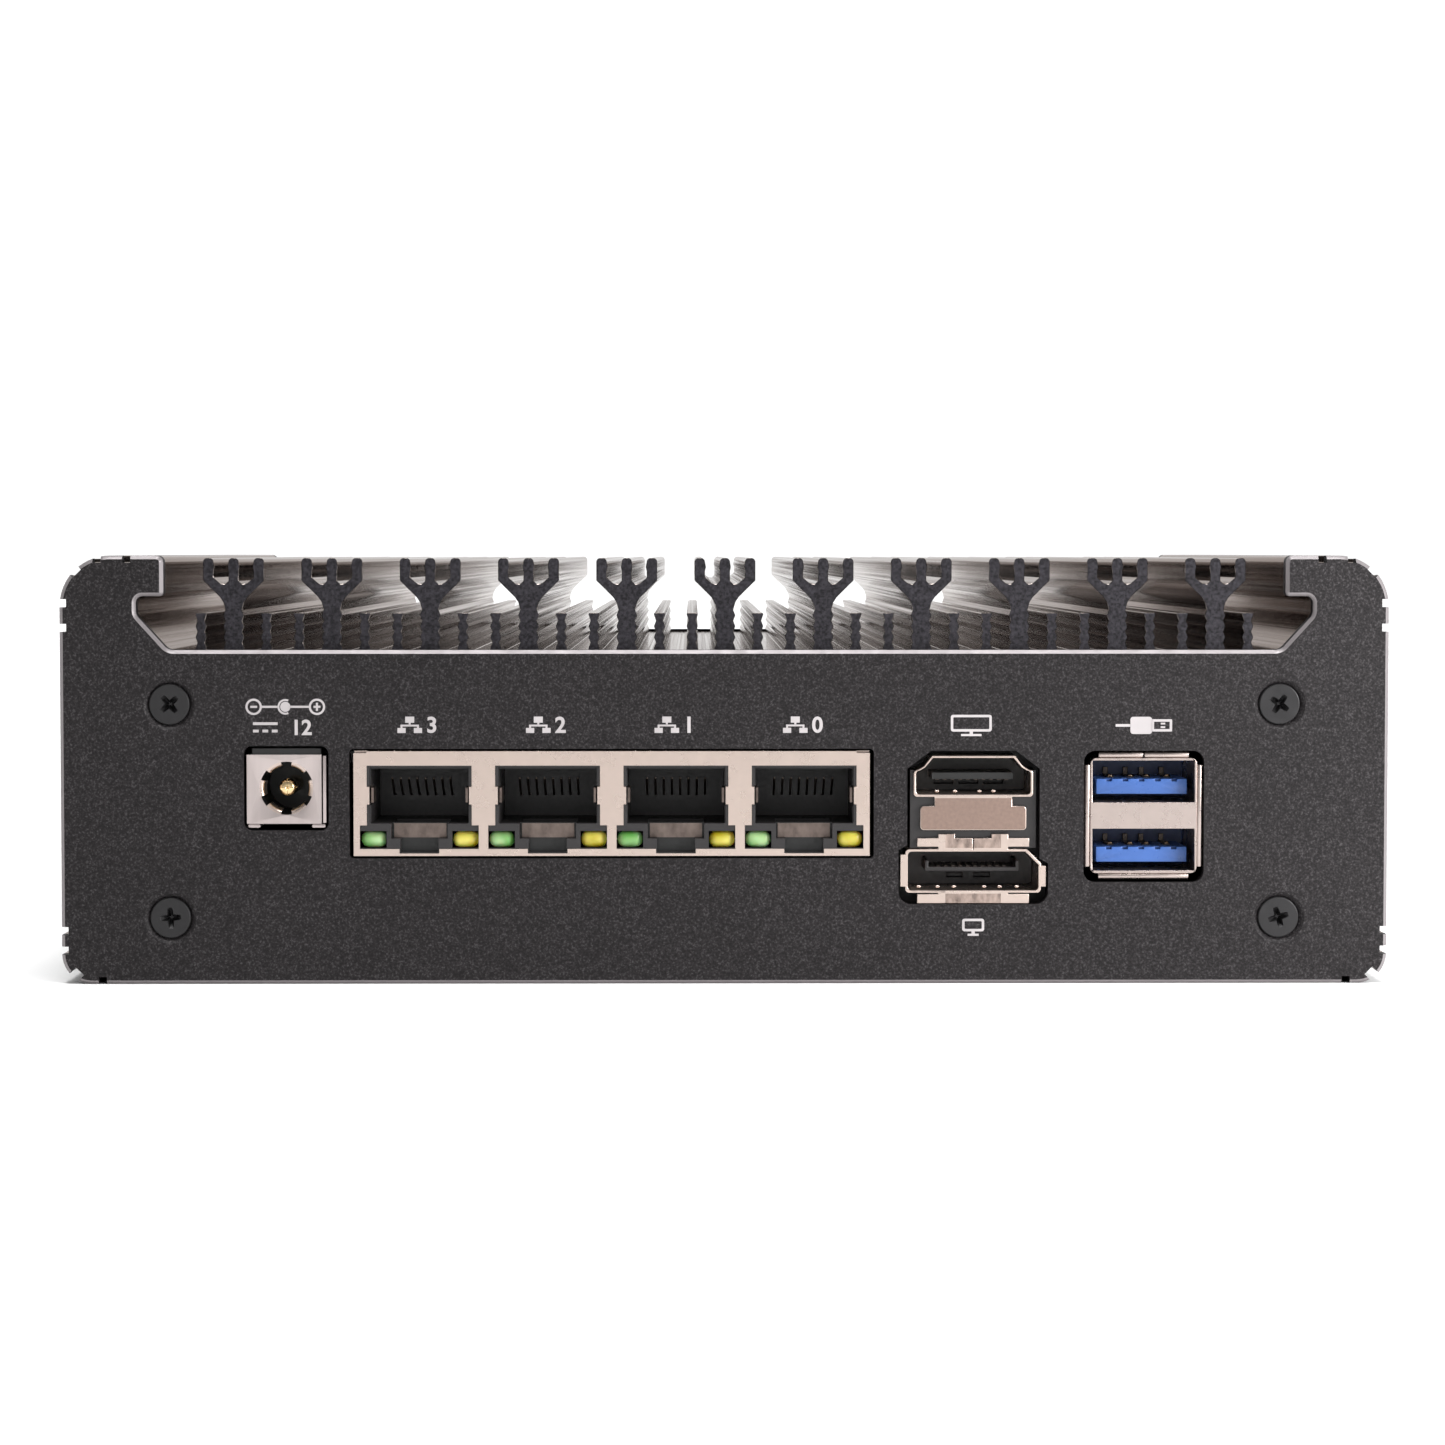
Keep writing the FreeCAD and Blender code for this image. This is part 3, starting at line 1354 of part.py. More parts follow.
def lower_video_outline(inset):
    """The lower socket's section: a rectangle with one cut corner and two rounded feet."""
    left, right = around("0", f"(lower_half - {inset})")
    low, high = f"lower_low + {inset}", f"lower_high - {inset}"
    outline = (
        rounded(right, low, "lower_round", "right", "up")
        + [Corner(right, f"{high} - lower_cut + {inset} * cut_share"),
           Corner(f"{right} - lower_cut + {inset} * cut_share", high)]
        + rounded(left, high, "lower_round", "left", "down")
        + rounded(left, low, "lower_round", "down", "right")
    )
    return shifted_outline("video_x", outline)


def tab(name, x, z, depth="port_face"):
    """A flat spring tab of the shell, just inside the plate's outer face."""
    return block(name, x, inward(PORT_SIDE, depth, f"{depth} + sheet_thick"), z)


def fine_contacts(node, count, pitch, face, back, height):
    """A row of thin contact strips on a socket's tongue."""
    strips = []
    for step in centred_steps(count):
        strips.append(block("fine_contact", around(f"video_x + {pitch} * {step}", "fine_contact_wide / 2"),
                            inward(PORT_SIDE, f"{face} + fine_contact_setback", back), height))
    keep(node, group(node, strips))


def slotted_core(name, outline, back, deep, count, pitch, half, low):
    """The moulding that closes a video socket at the back, with small key slots in its face."""
    core = section(name, inward(PORT_SIDE, back, deep), [outline])
    slots = []
    for step in centred_steps(count):
        slots.append(block(name + "_slot", around(f"video_x + {pitch} * {step}", half),
                           inward(PORT_SIDE, f"{back} - 1", f"{back} + slot_deep"),
                           (low, f"{low} + slot_high")))
    return cut(name + "_slotted", core, slots)


def upper_video_socket():
    tube = section("upper_video_tube", inward(PORT_SIDE, "port_face", "upper_deep"),
                   [upper_video_outline("0"), upper_video_outline("sheet_thick")])
    neck = tab("upper_neck", around("video_x", "flap_neck_half"), ("flap_high - joint", "upper_low + joint"))
    flap = section("upper_flap", inward(PORT_SIDE, "port_face", "port_face + sheet_thick"),
                   [rounded_rectangle(around("video_x", "flap_half"), ("flap_low", "flap_high"),
                                      "flap_round")])
    keep("upper_video_shell", fuse("upper_video_shell", [tube, neck, flap]))
    core = slotted_core("upper_video_core", upper_video_outline("(sheet_thick + sheet_fit)"),
                        "upper_back", "upper_deep", "upper_slots", "upper_slot_pitch",
                        "upper_slot_half", "upper_slot_low")
    tongue = block("upper_tongue", around("video_x", "upper_tongue_half"),
                   inward(PORT_SIDE, "upper_tongue_face", "upper_deep"),
                   ("upper_tongue_low", "upper_tongue_high"))
    keep("upper_video_tongue", fuse("upper_video_tongue", [core, tongue]))
    fine_contacts("upper_video_contacts", "upper_contacts", "upper_contact_pitch", "upper_tongue_face",
                  "upper_back", ("upper_tongue_low - fine_contact_thick", "upper_tongue_low"))


def lower_video_socket():
    tabs = [section("lower_video_tube", inward(PORT_SIDE, "port_face", "lower_deep"),
                    [lower_video_outline("0"), lower_video_outline("sheet_thick")])]
    for side, ear_high in zip(SIDES, ("lower_left_side_high", "lower_right_side_high")):
        split = f"video_x + {side} * lower_flap_split"
        root = f"video_x + {side} * lower_flap_root"
        tip = f"video_x + {side} * lower_flap_half"
        ear = f"video_x + {side} * lower_ear_inner"
        tabs.append(tab("lower_flap_root", ordered(split, root), ("lower_high - joint", "lower_flap_high")))
        tabs.append(tab("lower_flap_wing", ordered(root, tip), ("lower_flap_low", "lower_flap_high")))
        tabs.append(tab("lower_flap_ear", ordered(ear, root), ("lower_flap_high - joint", "lower_ear_high")))
        wall = f"video_x + {side} * (lower_half - joint)"
        tabs.append(tab("lower_side_tab", ordered(wall, f"video_x + {side} * lower_side_reach"),
                        ("lower_side_low", ear_high)))
    tabs.append(tab("lower_foot_root", around("video_x", "lower_flap_root"),
                    ("lower_foot_high - joint", "lower_low + joint")))
    tabs.append(tab("lower_foot", around("video_x", "lower_flap_half"),
                    ("lower_foot_low", "lower_foot_high")))
    keep("lower_video_shell", fuse("lower_video_shell", tabs))
    core = slotted_core("lower_video_core", lower_video_outline("(sheet_thick + sheet_fit)"),
                        "lower_back", "lower_deep", "lower_slots", "lower_slot_pitch",
                        "lower_slot_half", "lower_slot_low")
    tongue_y = inward(PORT_SIDE, "lower_tongue_face", "lower_deep")
    solids = [core, block("lower_tongue", around("video_x", "lower_tongue_half"), tongue_y,
                          ("lower_tongue_low", "lower_tongue_high"))]
    for side in SIDES:
        span = ordered(f"video_x + {side} * lower_tongue_half",
                       f"video_x + {side} * (lower_tongue_half - lower_leg_wide)")
        solids.append(block("lower_tongue_leg", span, tongue_y, ("lower_tongue_low", "lower_tongue_leg")))
    keep("lower_video_tongue", fuse("lower_video_tongue", solids))
    fine_contacts("lower_video_contacts", "lower_contacts", "lower_contact_pitch", "lower_tongue_face",
                  "lower_back", ("lower_tongue_high", "lower_tongue_high + fine_contact_thick"))


def video_stack_body():
    """One dark moulding that holds both video sockets; its face shows between them."""
    face = block("video_face_block", around("video_x", "video_face_half"),
                 inward(PORT_SIDE, "video_face", "video_block_face + 1"),
                 ("video_face_low", "video_face_high"))
    rear = block("video_rear_block", around("video_x", "video_block_half"),
                 inward(PORT_SIDE, "video_block_face", "video_block_deep"), ("video_block_low", "board_low"))
    room = inward(PORT_SIDE, "0", "video_block_deep - video_back_thick")
    rooms = [section("upper_room", room, [upper_video_outline("-sheet_fit")]),
             section("lower_room", room, [lower_video_outline("-sheet_fit")])]
    keep("video_stack_body", cut("video_stack_body", fuse("video_blank", [face, rear]), rooms))


def video_sockets():
    upper_video_socket()
    lower_video_socket()
    video_stack_body()


def serial_stack(prefix, side, centre):
    """Two serial-bus sockets, one above the other, in one folded shell."""
    y = inward(side, "port_face", "stack_deep")
    shell = section(prefix + "_shell_tube", y, [rounded_rectangle(
        around(centre, "stack_half"), ("stack_low", "stack_high"), "stack_round")])
    rooms, inserts, contacts = [], [], []
    for floor in ("stack_lower_floor", "stack_upper_floor"):
        z = (floor, f"{floor} + stack_port_high")
        rooms.append(block(prefix + "_room", around(centre, "stack_inner_half"),
                           inward(side, "0", "stack_deep - stack_back_thick"), z))
        back = block(prefix + "_back", around(centre, "stack_inner_half - sheet_fit"),
                     inward(side, "stack_back", "stack_deep - stack_back_thick - sheet_fit"),
                     (f"{floor} + sheet_fit", f"{floor} + stack_port_high - sheet_fit"))
        top = f"{floor} + tongue_rise + tongue_thick"
        tongue = block(prefix + "_tongue", around(centre, "tongue_half"),
                       inward(side, "tongue_face", "stack_deep - stack_back_thick - sheet_fit"),
                       (f"{floor} + tongue_rise", top))
        inserts.append(fuse(prefix + "_insert", [back, tongue]))
        for hand in SIDES:
            for place in ("bus_outer_contact", "bus_inner_contact"):
                contacts.append(block(prefix + "_contact",
                                      around(f"{centre} + {hand} * {place}", "bus_contact_wide / 2"),
                                      inward(side, "bus_contact_face", "bus_contact_face + bus_contact_long"),
                                      (top, f"{top} + bus_contact_thick")))
    lips = []
    lip_y = inward(side, "port_face + lip_radius", "port_face + lip_radius")[0]
    for hand in SIDES:
        x = f"{centre} + {hand} * (stack_half + lip_radius - lip_sunk)"
        lips.append(rod(prefix + "_side_lip", "z", (x, lip_y), ("lip_side_low", "lip_side_high"),
                        "lip_radius"))
        lips.append(rod(prefix + "_top_lip", "x", (lip_y, "stack_high + lip_radius - lip_sunk"),
                        ordered(f"{centre} + {hand} * lip_split", f"{centre} + {hand} * lip_half"),
                        "lip_radius"))
    lips.append(rod(prefix + "_bottom_lip", "x", (lip_y, "stack_low - lip_radius + lip_sunk"),
                    around(centre, "lip_half"), "lip_radius"))
    keep(prefix + "_shell", cut(prefix + "_shell", fuse(prefix + "_shell_blank", [shell] + lips), rooms))
    keep(prefix + "_tongues", group(prefix + "_tongues", inserts))
    keep(prefix + "_contacts", group(prefix + "_contacts", contacts))


# ---------------------------------------------------------------- controls

def power_button():
    """A cap held behind the plate by its flange; its stem bears on the plunger of a small switch."""
    spot = ("button_x", "button_z")
    flange_near = "plate_thick + flange_gap"
    flange_far = f"{flange_near} + flange_thick"
    cap = rod("button_cap_body", "y", spot, inward(BUTTON_SIDE, "button_rim - button_proud", flange_far),
              "button_radius")
    rim = cone("button_cap_rim", "y", spot,
               inward(BUTTON_SIDE, "-button_proud", "button_rim - button_proud"),
               "button_radius", "button_radius - button_rim")
    flange = rod("button_flange", "y", spot, inward(BUTTON_SIDE, flange_near, flange_far), "button_flange")
    stem = rod("button_stem", "y", spot, inward(BUTTON_SIDE, flange_far, "plunger_face"), "stem_radius")
    keep("power_button_cap", fuse("power_button_cap", [cap, rim, flange, stem]))
    plunger_span = inward(BUTTON_SIDE, "plunger_face", "plunger_face + plunger_long")
    keep("power_switch_plunger", rod("power_switch_plunger", "y", spot, plunger_span, "plunger_radius"))
    body = block("switch_block", around("button_x", "switch_half"),
                 inward(BUTTON_SIDE, "switch_face", "switch_face + switch_deep"),
                 ("button_z - switch_half", "board_low"))
    bore_span = inward(BUTTON_SIDE, "switch_face - 1", "switch_face + switch_bore_deep")
    bore = rod("switch_bore", "y", spot, bore_span, "plunger_radius + plunger_gap")
    keep("power_switch_body", cut("power_switch_body", body, [bore]))


def reset_switch():
    spot = ("reset_x", "reset_z")
    span = inward(BUTTON_SIDE, "reset_plunger_face", "reset_plunger_face + reset_plunger_long")
    keep("reset_switch_plunger", rod("reset_switch_plunger", "y", spot, span, "reset_plunger_radius"))
    body = block("reset_block", around("reset_x", "reset_half"),
                 inward(BUTTON_SIDE, "reset_face", "reset_face + reset_deep"),
                 ("reset_z - reset_half", "board_low"))
    bore_span = inward(BUTTON_SIDE, "reset_face - 1", "reset_face + reset_bore_deep")
    bore = rod("reset_bore", "y", spot, bore_span, "reset_plunger_radius + plunger_gap")
    keep("reset_switch_body", cut("reset_switch_body", body, [bore]))


def status_lights():
    pipes, diodes = [], []
    for number in range(int(SIZES["light_count"])):
        x = f"light_x + light_pitch * {number}"
        spot = (x, "light_z")
        pipe = rod("light_pipe", "y", spot, inward(BUTTON_SIDE, "light_face", "light_pipe_deep"),
                   "light_radius")
        collar = rod("light_collar", "y", spot,
                     inward(BUTTON_SIDE, "plate_thick", "plate_thick + light_flange_thick"), "light_flange")
        pipes.append(fuse("light_pipe_one", [pipe, collar]))
        diode_y = inward(BUTTON_SIDE, "light_pipe_deep + diode_gap", "light_pipe_deep + diode_deep")
        diodes.append(block("status_diode", around(x, "diode_half"), diode_y, ("diode_low", "board_low")))
    keep("status_light_pipes", group("status_light_pipes", pipes))
    keep("status_diodes", group("status_diodes", diodes))


# ---------------------------------------------------------------- build

def check_and_write():
    doc.recompute()
    for item in doc.Objects:
        if "Invalid" in item.State or "Error" in item.State:
            raise RuntimeError(f"{item.Name} ({item.Label}) failed: {item.State}")
    os.makedirs("parts", exist_ok=True)
    for node, item in NODES.items():
        shape = item.Shape
        if shape.isNull() or not shape.isValid() or not shape.Solids:
            raise RuntimeError(f"{node} has no valid solid")
        if item.Label != node:
            raise RuntimeError(f"{node} is labelled {item.Label}")
        shape.exportStep(f"parts/{node}.step")
        print(f"{node}: {len(shape.Solids)} solid(s), {shape.Volume:.1f} mm3")


housing()
rear_panel()
front_panel()
bottom_cover()
case_screws()
mainboard()
processor()
board_parts()
memory()
drive()
clock_battery()
power_inlet()
lan_sockets()
video_sockets()
serial_stack("rear_stack", PORT_SIDE, "stack_rear_x")
serial_stack("front_stack", BUTTON_SIDE, "stack_front_x")
power_button()
reset_switch()
status_lights()
check_and_write()
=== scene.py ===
import json
import math

import bmesh
import bpy
from mathutils import Matrix, Vector


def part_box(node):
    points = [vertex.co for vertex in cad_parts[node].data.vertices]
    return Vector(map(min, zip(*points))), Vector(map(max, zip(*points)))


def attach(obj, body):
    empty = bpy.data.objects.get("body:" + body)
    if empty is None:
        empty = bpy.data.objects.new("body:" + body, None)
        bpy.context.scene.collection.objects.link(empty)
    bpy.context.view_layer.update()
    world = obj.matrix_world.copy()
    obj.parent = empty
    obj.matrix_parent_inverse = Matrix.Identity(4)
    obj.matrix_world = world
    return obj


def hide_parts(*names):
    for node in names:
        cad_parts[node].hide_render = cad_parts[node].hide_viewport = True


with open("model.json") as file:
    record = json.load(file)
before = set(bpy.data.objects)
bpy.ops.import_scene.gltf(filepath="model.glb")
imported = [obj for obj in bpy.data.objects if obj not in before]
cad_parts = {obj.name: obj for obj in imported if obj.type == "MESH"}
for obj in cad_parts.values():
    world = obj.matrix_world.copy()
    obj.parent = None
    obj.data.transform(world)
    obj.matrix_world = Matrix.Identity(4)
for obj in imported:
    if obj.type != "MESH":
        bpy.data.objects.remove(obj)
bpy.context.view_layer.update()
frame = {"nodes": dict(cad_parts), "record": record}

MM = 0.001
CASE = "case"


def node_box(node):
    """A CAD node's lowest and highest corners, in millimetres."""
    low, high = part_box(node)
    return Vector(low) / MM, Vector(high) / MM


def mount_spot(name):
    """A mount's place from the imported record, in millimetres."""
    for mount in frame["record"]["mounts"]:
        if mount["name"] == name:
            return Vector(mount["pos_m"]) / MM
    raise KeyError(name)


# Pieces are built in millimetres in the frame of the side that they belong to:
# x to the right of somebody facing that side, y inwards from its outer face, z up.
# Under the case, y is inwards too, and z points to the port side.
PORT_SIDE = Matrix.Translation((0.0, node_box("rear_panel")[0].y, 0.0))
HALF_TURN = Matrix.Rotation(math.pi, 4, "Z")
BUTTON_SIDE = Matrix.Translation((0.0, node_box("front_panel")[1].y, 0.0)) @ HALF_TURN
UNDERSIDE = Matrix.Rotation(math.pi / 2, 4, "X")
WHOLE = Matrix.Identity(4)


# ---------------------------------------------------------------- shader helpers

# The colour sockets of a mix node share their names with others, so they are found by place.
MIX_FIRST = 6
MIX_SECOND = 7
MIX_RESULT = 2

# Most of a noise lies between these levels.
NOISE_LOW = 0.3
NOISE_HIGH = 0.7


class Shader:
    """A material under construction: one principled shader and the nodes that feed it."""

    def __init__(self, name, color=(0.5, 0.5, 0.5), metallic=0.0, roughness=0.5, **sockets):
        self.material = bpy.data.materials.new(name)
        self.material.use_nodes = True
        self.tree = self.material.node_tree
        self.principled = self.tree.nodes["Principled BSDF"]
        self.set("Base Color", (*color, 1.0))
        self.set("Metallic", metallic)
        self.set("Roughness", roughness)
        for socket, number in sockets.items():
            self.set(socket.replace("_", " "), number)

    def set(self, socket, content):
        self.principled.inputs[socket].default_value = content

    def link(self, output, target):
        self.tree.links.new(output, target)

    def node(self, kind, **properties):
        made = self.tree.nodes.new(kind)
        for key, content in properties.items():
            setattr(made, key, content)
        return made

    def feed(self, node, socket, content):
        """Give a node's input a number, a colour or another node's output."""
        target = node.inputs[socket]
        if isinstance(content, bpy.types.NodeSocket):
            self.link(content, target)
        else:
            target.default_value = content

    def coordinates(self, stretch=(1.0, 1.0, 1.0)):
        place = self.node("ShaderNodeTexCoord").outputs["Object"]
        mapping = self.node("ShaderNodeMapping")
        self.link(place, mapping.inputs["Vector"])
        mapping.inputs["Scale"].default_value = stretch
        return mapping.outputs["Vector"]

    def noise(self, scale, detail=2.0, stretch=(1.0, 1.0, 1.0), rough=0.5):
        """Noise with so many features to the metre, drawn out where the stretch is small."""
        made = self.node("ShaderNodeTexNoise")
        self.link(self.coordinates(stretch), made.inputs["Vector"])
        made.inputs["Scale"].default_value = scale
        made.inputs["Detail"].default_value = detail
        made.inputs["Roughness"].default_value = rough
        return made.outputs["Fac"]

    def cells(self, scale):
        made = self.node("ShaderNodeTexVoronoi")
        self.link(self.coordinates(), made.inputs["Vector"])
        made.inputs["Scale"].default_value = scale
        return made.outputs["Distance"]

    def ramp(self, factor, *stops):
        made = self.node("ShaderNodeValToRGB")
        self.link(factor, made.inputs["Fac"])
        elements = made.color_ramp.elements
        while len(elements) < len(stops):
            elements.new(0.5)
        for element, (place, color) in zip(elements, stops):
            element.position = place
            element.color = (*color, 1.0)
        return made.outputs["Color"]

    def span(self, factor, low, high):
        """Spread the usual range of a noise over the numbers from low to high."""
        made = self.node("ShaderNodeMapRange")
        for socket, content in (("Value", factor), ("From Min", NOISE_LOW), ("From Max", NOISE_HIGH),
                                ("To Min", low), ("To Max", high)):
            self.feed(made, socket, content)
        return made.outputs["Result"]

    def multiply(self, first, second):
        made = self.node("ShaderNodeMix", data_type="RGBA", blend_type="MULTIPLY")
        self.feed(made, "Factor", 1.0)
        self.feed(made, MIX_FIRST, first)
        self.feed(made, MIX_SECOND, second)
        return made.outputs[MIX_RESULT]

    def bump(self, height, distance, strength):
        made = self.node("ShaderNodeBump")
        made.inputs["Distance"].default_value = distance
        made.inputs["Strength"].default_value = strength
        self.link(height, made.inputs["Height"])
        self.link(made.outputs["Normal"], self.principled.inputs["Normal"])

    def to(self, output, socket):
        self.link(output, self.principled.inputs[socket])


# ---------------------------------------------------------------- materials

ALONG_Y = (1.0, 0.0012, 1.0)
ALONG_Z = (1.0, 1.0, 0.04)
SLOWLY_ALONG_Y = (1.0, 0.05, 1.0)


def plate_finish():
    """Charcoal anodising over fine sandblasting, with pale grains."""
    made = Shader("plate_charcoal", metallic=0.1, roughness=0.58, Specular_IOR_Level=0.22)
    grain = made.noise(3900.0, 3.0, rough=0.62)
    cloud = made.noise(45.0, 2.0)
    grain_color = made.ramp(grain, (0.38, (0.0095, 0.0080, 0.0087)), (0.54, (0.020, 0.0175, 0.0185)),
                            (0.74, (0.075, 0.069, 0.072)))
    shade = made.ramp(cloud, (0.3, (0.86, 0.86, 0.86)), (0.7, (1.0, 1.0, 1.0)))
    made.to(made.multiply(grain_color, shade), "Base Color")
    made.to(made.span(grain, 0.66, 0.46), "Roughness")
    made.bump(grain, 0.00003, 0.6)
    return made.material


def bright_edge():
    """Diamond-cut bare aluminium of the chamfers."""
    made = Shader("cut_edge", (0.24, 0.22, 0.225), metallic=0.4, roughness=0.42)
    made.to(made.span(made.noise(900.0, 2.0), 0.36, 0.5), "Roughness")
    return made.material


def extrusion_finish():
    """Dark, glossy anodised walls that reflect most edge-on, with fine lines along their length."""
    edge_on = (0.58, 0.50, 0.46, 1.0)
    made = Shader("extrusion_charcoal", metallic=0.9, roughness=0.2, Specular_Tint=edge_on)
    lines = made.noise(3600.0, 2.0, ALONG_Y)
    made.to(made.ramp(lines, (0.34, (0.040, 0.035, 0.033)), (0.66, (0.17, 0.150, 0.140))), "Base Color")
    made.to(made.span(lines, 0.09, 0.2), "Roughness")
    return made.material


def sawn_finish():
    """The same anodising on the sawn and blasted ends of the fins."""
    made = Shader("sawn_charcoal", metallic=0.1, roughness=0.6, Specular_IOR_Level=0.22)
    grain = made.noise(3000.0, 3.0, rough=0.6)
    made.to(made.ramp(grain, (0.36, (0.008, 0.007, 0.009)), (0.70, (0.036, 0.033, 0.040))), "Base Color")
    made.to(made.span(grain, 0.72, 0.5), "Roughness")
    made.bump(grain, 0.00003, 0.5)
    return made.material


def plain_metal(name, color, rough_low, rough_high, grain=700.0, stretch=(1.0, 1.0, 1.0), metallic=1.0,
                dark=0.86):
    """Metal with a fine, slightly uneven polish; its dark streaks have a share of the colour."""
    made = Shader(name, color, metallic=metallic, roughness=(rough_low + rough_high) / 2)
    streaks = made.noise(grain, 3.0, stretch)
    darker = tuple(channel * dark for channel in color)
    made.to(made.ramp(streaks, (0.3, darker), (0.7, color)), "Base Color")
    made.to(made.span(streaks, rough_low, rough_high), "Roughness")
    return made.material


def moulded_plastic(name, color, roughness=0.42, specular=0.5):
    """Moulded plastic: an even colour with a very fine spark-eroded skin."""
    made = Shader(name, color, roughness=roughness, Specular_IOR_Level=specular)
    skin = made.noise(2600.0, 2.0)
    cloud = made.noise(160.0, 2.0)
    darker = tuple(channel * 0.82 for channel in color)
    made.to(made.ramp(cloud, (0.3, darker), (0.7, color)), "Base Color")
    made.to(made.span(skin, roughness - 0.08, roughness + 0.1), "Roughness")
    made.bump(skin, 0.00001, 0.35)
    return made.material


def tinted_light(name, color, glow):
    """Tinted resin of a status light, unlit, paler where it is thin."""
    made = Shader(name, color, roughness=0.22, Coat_Weight=0.4, Coat_Roughness=0.1,
                  Subsurface_Weight=0.35, Subsurface_Scale=0.0012)
    depth = made.noise(420.0, 1.0)
    made.to(made.ramp(depth, (0.32, color), (0.68, glow)), "Base Color")
    return made.material


def circuit_board():
    made = Shader("board_mask", (0.01, 0.05, 0.03), roughness=0.35)
    tracks = made.cells(260.0)
    made.to(made.ramp(tracks, (0.05, (0.02, 0.10, 0.06)), (0.25, (0.008, 0.045, 0.028))), "Base Color")
    made.bump(tracks, 0.00003, 0.4)
    return made.material


MATERIALS = {
    "plate": plate_finish(),
    "edge": bright_edge(),
    "extrusion": extrusion_finish(),
    "sawn": sawn_finish(),
    "screw": plain_metal("screw_black", (0.030, 0.029, 0.030), 0.36, 0.52, metallic=0.6),
    "nickel": plain_metal("nickel_shield", (0.60, 0.495, 0.44), 0.24, 0.36, 500.0, dark=0.93),
    # The stacks' shells: a darker copy of the shield nickel, painted shade against the key light on that
    # side.
    "shaded_nickel": plain_metal("nickel_stack_painted_shade", (0.48, 0.405, 0.375), 0.24, 0.34, 600.0, dark=0.93),
    # Upper video shell's tabs: a darker copy of the nickel, painted shade where the real tabs are bent
    # away.
    "upper_flap_shade": plain_metal("nickel_upper_flap_shade", (0.33, 0.238, 0.20), 0.34, 0.46, 2200.0, dark=0.84),
    # Latch plates: a darker copy of the nickel, painted shade in place of a recessed, tilted sheet that
    # reflects less.
    "latch": plain_metal("latch_painted_shade", (0.22, 0.175, 0.155), 0.3, 0.5, 900.0, (1.0, 1.0, 0.6),
                         dark=0.5),
    # Lower video shell's tabs: a darker, streaked copy of the nickel, painted shade where the real tabs
    # are bent.
    "lower_flap_shade_streaked": plain_metal("nickel_lower_flap_shade_streaked", (0.50, 0.39, 0.34), 0.26, 0.5, 1500.0, (1.0, 1.0, 0.5),
                           dark=0.4),
    "steel": plain_metal("zinc_steel", (0.62, 0.62, 0.63), 0.25, 0.4),
    "brushed": plain_metal("brushed_face", (0.56, 0.49, 0.475), 0.26, 0.42, 900.0, ALONG_Z),
    "gold": plain_metal("gold_flash", (0.90, 0.68, 0.38), 0.16, 0.28),
    "bronze": plain_metal("contact_bronze", (0.30, 0.23, 0.16), 0.25, 0.4),
    "dull": plain_metal("contact_dull", (0.10, 0.085, 0.075), 0.3, 0.45),
    "black": moulded_plastic("black_plastic", (0.010, 0.010, 0.010)),
    "grey": moulded_plastic("dark_grey_plastic", (0.021, 0.0185, 0.0192)),
    "blue": moulded_plastic("blue_plastic", (0.055, 0.15, 0.47), 0.34),
    # A darker copy of the blue plastic: painted shade on the blocks at the back of the ports.
    "shaded_blue": moulded_plastic("blue_plastic_painted_shade", (0.016, 0.042, 0.15), 0.4),
    "white": moulded_plastic("white_plastic", (0.75, 0.75, 0.73)),
    "print": moulded_plastic("white_print", (0.52, 0.485, 0.49), 0.6, 0.3),
    "green_light": tinted_light("green_resin", (0.12, 0.36, 0.07), (0.42, 0.62, 0.30)),
    "yellow_light": tinted_light("yellow_resin", (0.46, 0.38, 0.015), (0.74, 0.66, 0.12)),
    "frosted": tinted_light("frosted_pipe", (0.72, 0.76, 0.78), (0.85, 0.88, 0.9)),
    "board": circuit_board(),
    "chip": moulded_plastic("chip_epoxy", (0.02, 0.02, 0.021), 0.5),
    "pad": moulded_plastic("thermal_pad", (0.35, 0.42, 0.5), 0.7),
    "aluminium": plain_metal("milled_aluminium", (0.74, 0.74, 0.75), 0.25, 0.42, 600.0, SLOWLY_ALONG_Y),
}

NODE_FINISH = {
    "extrusion": ("heatsink_housing",),
    "plate": ("rear_panel", "front_panel", "bottom_cover"),
    "screw": ("rear_panel_screws", "front_panel_screws", "bottom_cover_screws"),
    "nickel": ("lan_shield", "upper_video_shell", "lower_video_shell", "rear_stack_shell",
               "front_stack_shell", "dc_inlet_spring_contact"),
    "brushed": ("dc_inlet_shell", "power_button_cap"),
    "gold": ("dc_inlet_pin", "board_standoffs", "ssd_standoff"),
    "dull": ("upper_video_contacts", "lower_video_contacts"),
    "bronze": ("lan_contacts", "rear_stack_contacts", "front_stack_contacts"),
    "steel": ("board_screws", "ssd_screw", "cmos_battery"),
    "black": ("dc_inlet_insulator", "front_stack_tongues", "memory_sockets", "ssd_socket",
              "battery_holder", "power_switch_body", "power_switch_plunger", "reset_switch_body",
              "reset_switch_plunger"),
    "grey": ("video_stack_body", "lan_inserts", "upper_video_tongue", "lower_video_tongue"),
    "blue": ("rear_stack_tongues",),
    "white": ("status_diodes",),
    "green_light": ("lan_green_lights",),
    "yellow_light": ("lan_yellow_lights",),
    "frosted": ("status_light_pipes",),
    "board": ("mainboard", "memory_module_1", "memory_module_2", "ssd_module"),
    "chip": ("processor", "lan_controllers", "lan_transformers", "power_inductors"),
    "aluminium": ("cpu_heat_block", "capacitors"),
    "pad": ("thermal_pads",),
}


def finish_nodes():
    for finish, names in NODE_FINISH.items():
        for name in names:
            mesh = frame["nodes"][name].data
            mesh.materials.clear()
            mesh.materials.append(MATERIALS[finish])


# ---------------------------------------------------------------- mesh helpers

ON_AXIS = 1e-6
WELD = 0.002
FLAT_ANGLE = 0.6
SHARP_ANGLE = 30.0
CORNER_STEPS = 5
DOME_TURNS = (0, 22, 45, 67, 90)


